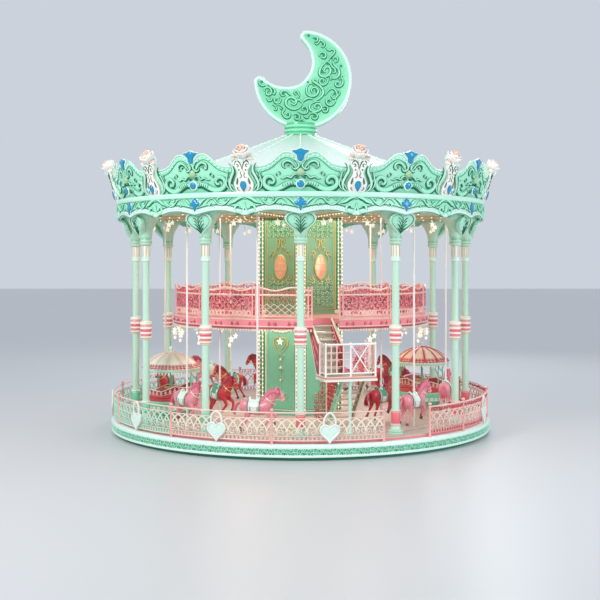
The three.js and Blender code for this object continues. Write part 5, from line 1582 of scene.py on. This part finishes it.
def horse(coat, mane, tack):
    """A galloping horse in its own frame, with its nose towards +x, its lowest hoof at height 0 and its head bent."""
    piece = Piece()
    x = np.array([-0.475, -0.45, -0.39, -0.3, -0.18, -0.05, 0.08, 0.2, 0.29, 0.36, 0.4])
    mid = np.array([0.635, 0.635, 0.64, 0.635, 0.615, 0.6, 0.6, 0.615, 0.64, 0.67, 0.69])
    wide = np.array([0.05, 0.11, 0.155, 0.175, 0.165, 0.168, 0.165, 0.165, 0.15, 0.115, 0.06])
    tall = np.array([0.07, 0.135, 0.185, 0.205, 0.195, 0.185, 0.19, 0.2, 0.195, 0.15, 0.08])
    x, mid, wide, tall = (through(np.column_stack([np.arange(11), v]), 25)[:, 1] for v in (x, mid, wide, tall))
    a = circle(16)
    rings = joined(x[:, None], wide[:, None] * a[None, :, 0],
                   mid[:, None] + tall[:, None] * a[None, :, 1] * np.where(a[None, :, 1] < 0, 0.95, 1.0))
    # painted shade in bands round the body that model its muscles
    muscle_shading = 0.72 + 0.28 * np.abs(np.sin(np.linspace(0, 9, 25)[:, None] + a[None, :, 1]))
    loft(piece, rings, coat, muscle_shading)
    neck = through([(0.21, 0, 0.66), (0.31, 0, 0.81), (0.4, 0, 0.93), (0.49, 0, 1.02), (0.58, 0, 1.04)], 13)
    bar(piece, neck, circle(12) * (0.62, 1.0), coat, (1, 0, 0.01),
        along(13, [0.195, 0.165, 0.13, 0.09], [0, 0.3, 0.65, 1]), 0.9)
    head = through([(0.51, 0, 1.055), (0.59, 0, 1.02), (0.65, 0, 0.93), (0.695, 0, 0.84), (0.72, 0, 0.785)], 12)
    bar(piece, head, circle(12) * (0.62, 1.0), coat, (1, 0, 0.6),
        along(12, [0.075, 0.09, 0.066, 0.05, 0.04], [0, 0.25, 0.5, 0.8, 1]), 0.95)
    for side in (1, -1):
        limb(piece, [(0.515, 0.045 * side, 1.07), (0.52, 0.055 * side, 1.12), (0.53, 0.05 * side, 1.165)],
             [0.024, 0.026, 0.004], coat, 0.6, 6)
        piece.strew(ball(0.013, "hoof", 5, 2), [(0.622, 0.056 * side, 1.005), (0.728, 0.026 * side, 0.807)])
    legs = (
        (0.085, [(0.235, 0.6), (0.3, 0.5), (0.455, 0.415), (0.45, 0.3), (0.435, 0.215)]),
        (-0.085, [(0.235, 0.6), (0.29, 0.48), (0.37, 0.345), (0.29, 0.25), (0.225, 0.185)]),
        (0.085, [(-0.31, 0.64), (-0.3, 0.49), (-0.335, 0.345), (-0.42, 0.22), (-0.49, 0.105)]),
        (-0.085, [(-0.31, 0.64), (-0.24, 0.47), (-0.26, 0.33), (-0.34, 0.17), (-0.385, 0.05)]),
    )
    for y, joints in legs:
        hind = joints[0][0] < 0
        points = [(px, y * (0.9 if k == 0 else 1), pz) for k, (px, pz) in enumerate(joints)]
        limb(piece, points, [0.12 if hind else 0.1, 0.085 if hind else 0.065, 0.046, 0.032, 0.034], coat)
        end, before = np.array(points[-1]), np.array(points[-2])
        way = (end - before) / np.linalg.norm(end - before)
        bar(piece, [end - way * 0.01, end + way * 0.02, end + way * 0.055], circle(8) * (0.9, 1), "hoof", (1, 0, 0.2),
            [0.036, 0.044, 0.05])
    seeded = np.random.default_rng(3)
    crest = through([(0.1, 0, 0.8), (0.19, 0, 0.92), (0.28, 0, 1.02), (0.39, 0, 1.1), (0.51, 0, 1.13),
                     (0.6, 0, 1.08)], 16)
    for k, base in enumerate(crest):
        for side in (1, -1):
            drop = seeded.uniform(0.12, 0.19)
            path = [base + (0.03, 0, -0.02), base + (-0.012, 0.045 * side, 0.0), base + (-0.015, 0.085 * side, -drop * 0.6),
                    base + (0.02 * (k % 2), 0.09 * side, -drop)]
            bar(piece, through(path, 5), circle(5) * (0.5, 1), mane, (1, 0, 0.3), [0.03, 0.031, 0.028, 0.018, 0.004],
                [1, 0.5, 0.2, 0.6, 1])
    for side in (-1, 0, 1):
        tail = through([(-0.44, 0.01 * side, 0.72), (-0.53, 0.02 * side, 0.7), (-0.6, 0.03 * side, 0.6),
                        (-0.63, 0.04 * side, 0.48), (-0.6 - 0.02 * side, 0.05 * side, 0.38)], 12)
        bar(piece, tail, circle(6) * (0.7, 1), mane, (1, 0, 0.2),
            along(12, [0.026, 0.045, 0.036, 0.006], [0, 0.4, 0.8, 1]), 0.8)
    blanket, saddle, trim, edge_paint = tack
    for x0, x1, out, cut, finish in ((-0.22, 0.09, 0.012, 1.0, blanket), (-0.17, 0.05, 0.024, 0.62, saddle)):
        spots = np.linspace(x0, x1, 5)
        w, t, m = (np.interp(spots, x, v)[:, None] for v in (wide, tall, mid))
        arc = np.radians(np.linspace(-128, 128, 17))[None] * cut
        rows = [joined(spots[:, None], (w + o) * np.sin(b), m + (t + o) * np.cos(b))
                for o, b in ((out, arc), (-0.01, arc[:, ::-1]))]
        loft(piece, np.concatenate(rows, 1), finish, 0.9)
        for edge_at in (0, -1):
            bar(piece, rows[0][edge_at], circle(6), edge_paint if cut == 1.0 else trim, (1, 0, 0), 0.011)
    for spot in (-0.155, 0.045):
        w, t, m = (np.interp(spot, x, v) for v in (wide, tall, mid))
        for side in (1, -1):
            arc = np.radians(np.linspace(84, 122, 4))
            motifs = joined(spot, side * (w + 0.014) * np.sin(arc), m + (t + 0.014) * np.cos(arc))
            piece.strew(ball(0.024, "saddle_blue", 6, 2), motifs)
    for at, high in ((-0.19, 0.075), (0.055, 0.06)):
        bar(piece, [(at, -0.07, 0.795), (at, -0.04, 0.8 + high * 0.8), (at, 0, 0.8 + high), (at, 0.04, 0.8 + high * 0.8),
                    (at, 0.07, 0.795)], circle(8) * (1, 1.3), saddle, (1, 0, 0), 0.022)
    a = circle(18)
    for x0, z0, half, deep, tip, thick in (
        (0.34, 0.82, 0.108, -0.14, 0.11, 0.012), (0.652, 0.93, 0.048, 0.056, 0.042, 0.007),
        (0.702, 0.827, 0.036, 0.044, 0.03, 0.007),
    ):
        strap = np.stack([x0 + a[:, 1] * deep, a[:, 0] * half, z0 + a[:, 1] * tip], 1)
        rod(piece, strap, thick, trim, 6, loop=True)
    for side in (1, -1):
        rein = [(0.705, 0.038 * side, 0.83), (0.55, 0.08 * side, 0.84), (0.35, 0.115 * side, 0.82),
                (0.1, 0.06 * side, 0.86)]
        rod(piece, through(rein, 12), 0.006, trim, 5)
        girth = [(-0.06, 0.172 * math.sin(t), 0.605 + 0.194 * math.cos(t)) for t in np.linspace(1.0, 3.14, 8)]
        rod(piece, np.array(girth) * (1, side, 1), 0.009, trim, 5)
    return piece


def horses():
    """Thirteen horses on their poles, each turned to its place and lifted to its height."""
    kinds = {
        "horse_pink": horse("horse_pink", "mane_rose", ("white", "white_mint", "cream", "dark_mint")),
        "horse_red": horse("horse_red", "mane_red", ("white", "saddle_teal", "gold", "dark_mint")),
    }
    spots = [(d, OUTER_R, p) for d, p in zip(OUTER_HORSES, OUTER_LIFT)]
    spots += [(d, INNER_R, p) for d, p in zip(INNER_HORSES, INNER_LIFT)]
    for number, (deg, ring, share) in enumerate(spots, 1):
        coat = "horse_pink" if number in (1, 2, 3, 4, 6, 8) else "horse_red"
        local = kinds[coat].placed(0, (0, 0, HOOF))
        lathe(local, [(0.022, 0.112), (0.027, 0.12), (0.027, 6.38), (0.022, 6.3849)], "rose_white", sides=12)
        lathe(local, [(0.05, 1.3), (0.058, 1.315), (0.05, 1.335), (0.034, 1.35), (0.034, 1.44), (0.046, 1.455),
                      (0.034, 1.47)], "white", sides=12)
        node = "horse_%d" % number
        slot = "pink_fibreglass" if coat == "horse_pink" else "red_fibreglass"
        local.placed(deg, (0, -ring, STROKE * share)).make(node + "_rider", node + "_body", slot, node)


# Kept nodes, ground, assembly

def kept_nodes():
    """Finishes for the nodes whose own shape is right."""
    floor = boarded("turning_floor_panels", "d9c6b8", "a88f82", 15.0, 0.62)
    deck = boarded("deck_floor_panels", "dc9a92", "a5635e", 15.0, 0.62)
    for node, finish in (("centre_pin", paint("steel")), ("turning_floor", floor), ("deck_floor", deck)):
        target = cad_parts[node]
        target.data.materials.clear()
        target.data.materials.append(finish)


def ground():
    """Plain pale floor, which isn't part of the ride."""
    mesh = bpy.data.meshes.new("studio_floor")
    wide = 160
    mesh.from_pydata([(-wide, -wide, 0), (wide, -wide, 0), (wide, wide, 0), (-wide, wide, 0)], [], [(0, 1, 2, 3)])
    made = in_scene("studio_floor", mesh)
    pale = Finish("studio_floor")
    pale.put("Base Color", pale.mix(pale.noise(0.05), (0.6, 0.61, 0.62, 1), (0.66, 0.66, 0.67, 1)))
    pale.put("Roughness", 0.35)
    mesh.materials.append(pale.material)


camera_and_light()
base_skirt()
columns()
canopy()
moon()
fence()
lower_drum()
upper_drum()
deck_edge()
deck_rails()
stairs()
carriages()
crown()
horses()
kept_nodes()
ground()
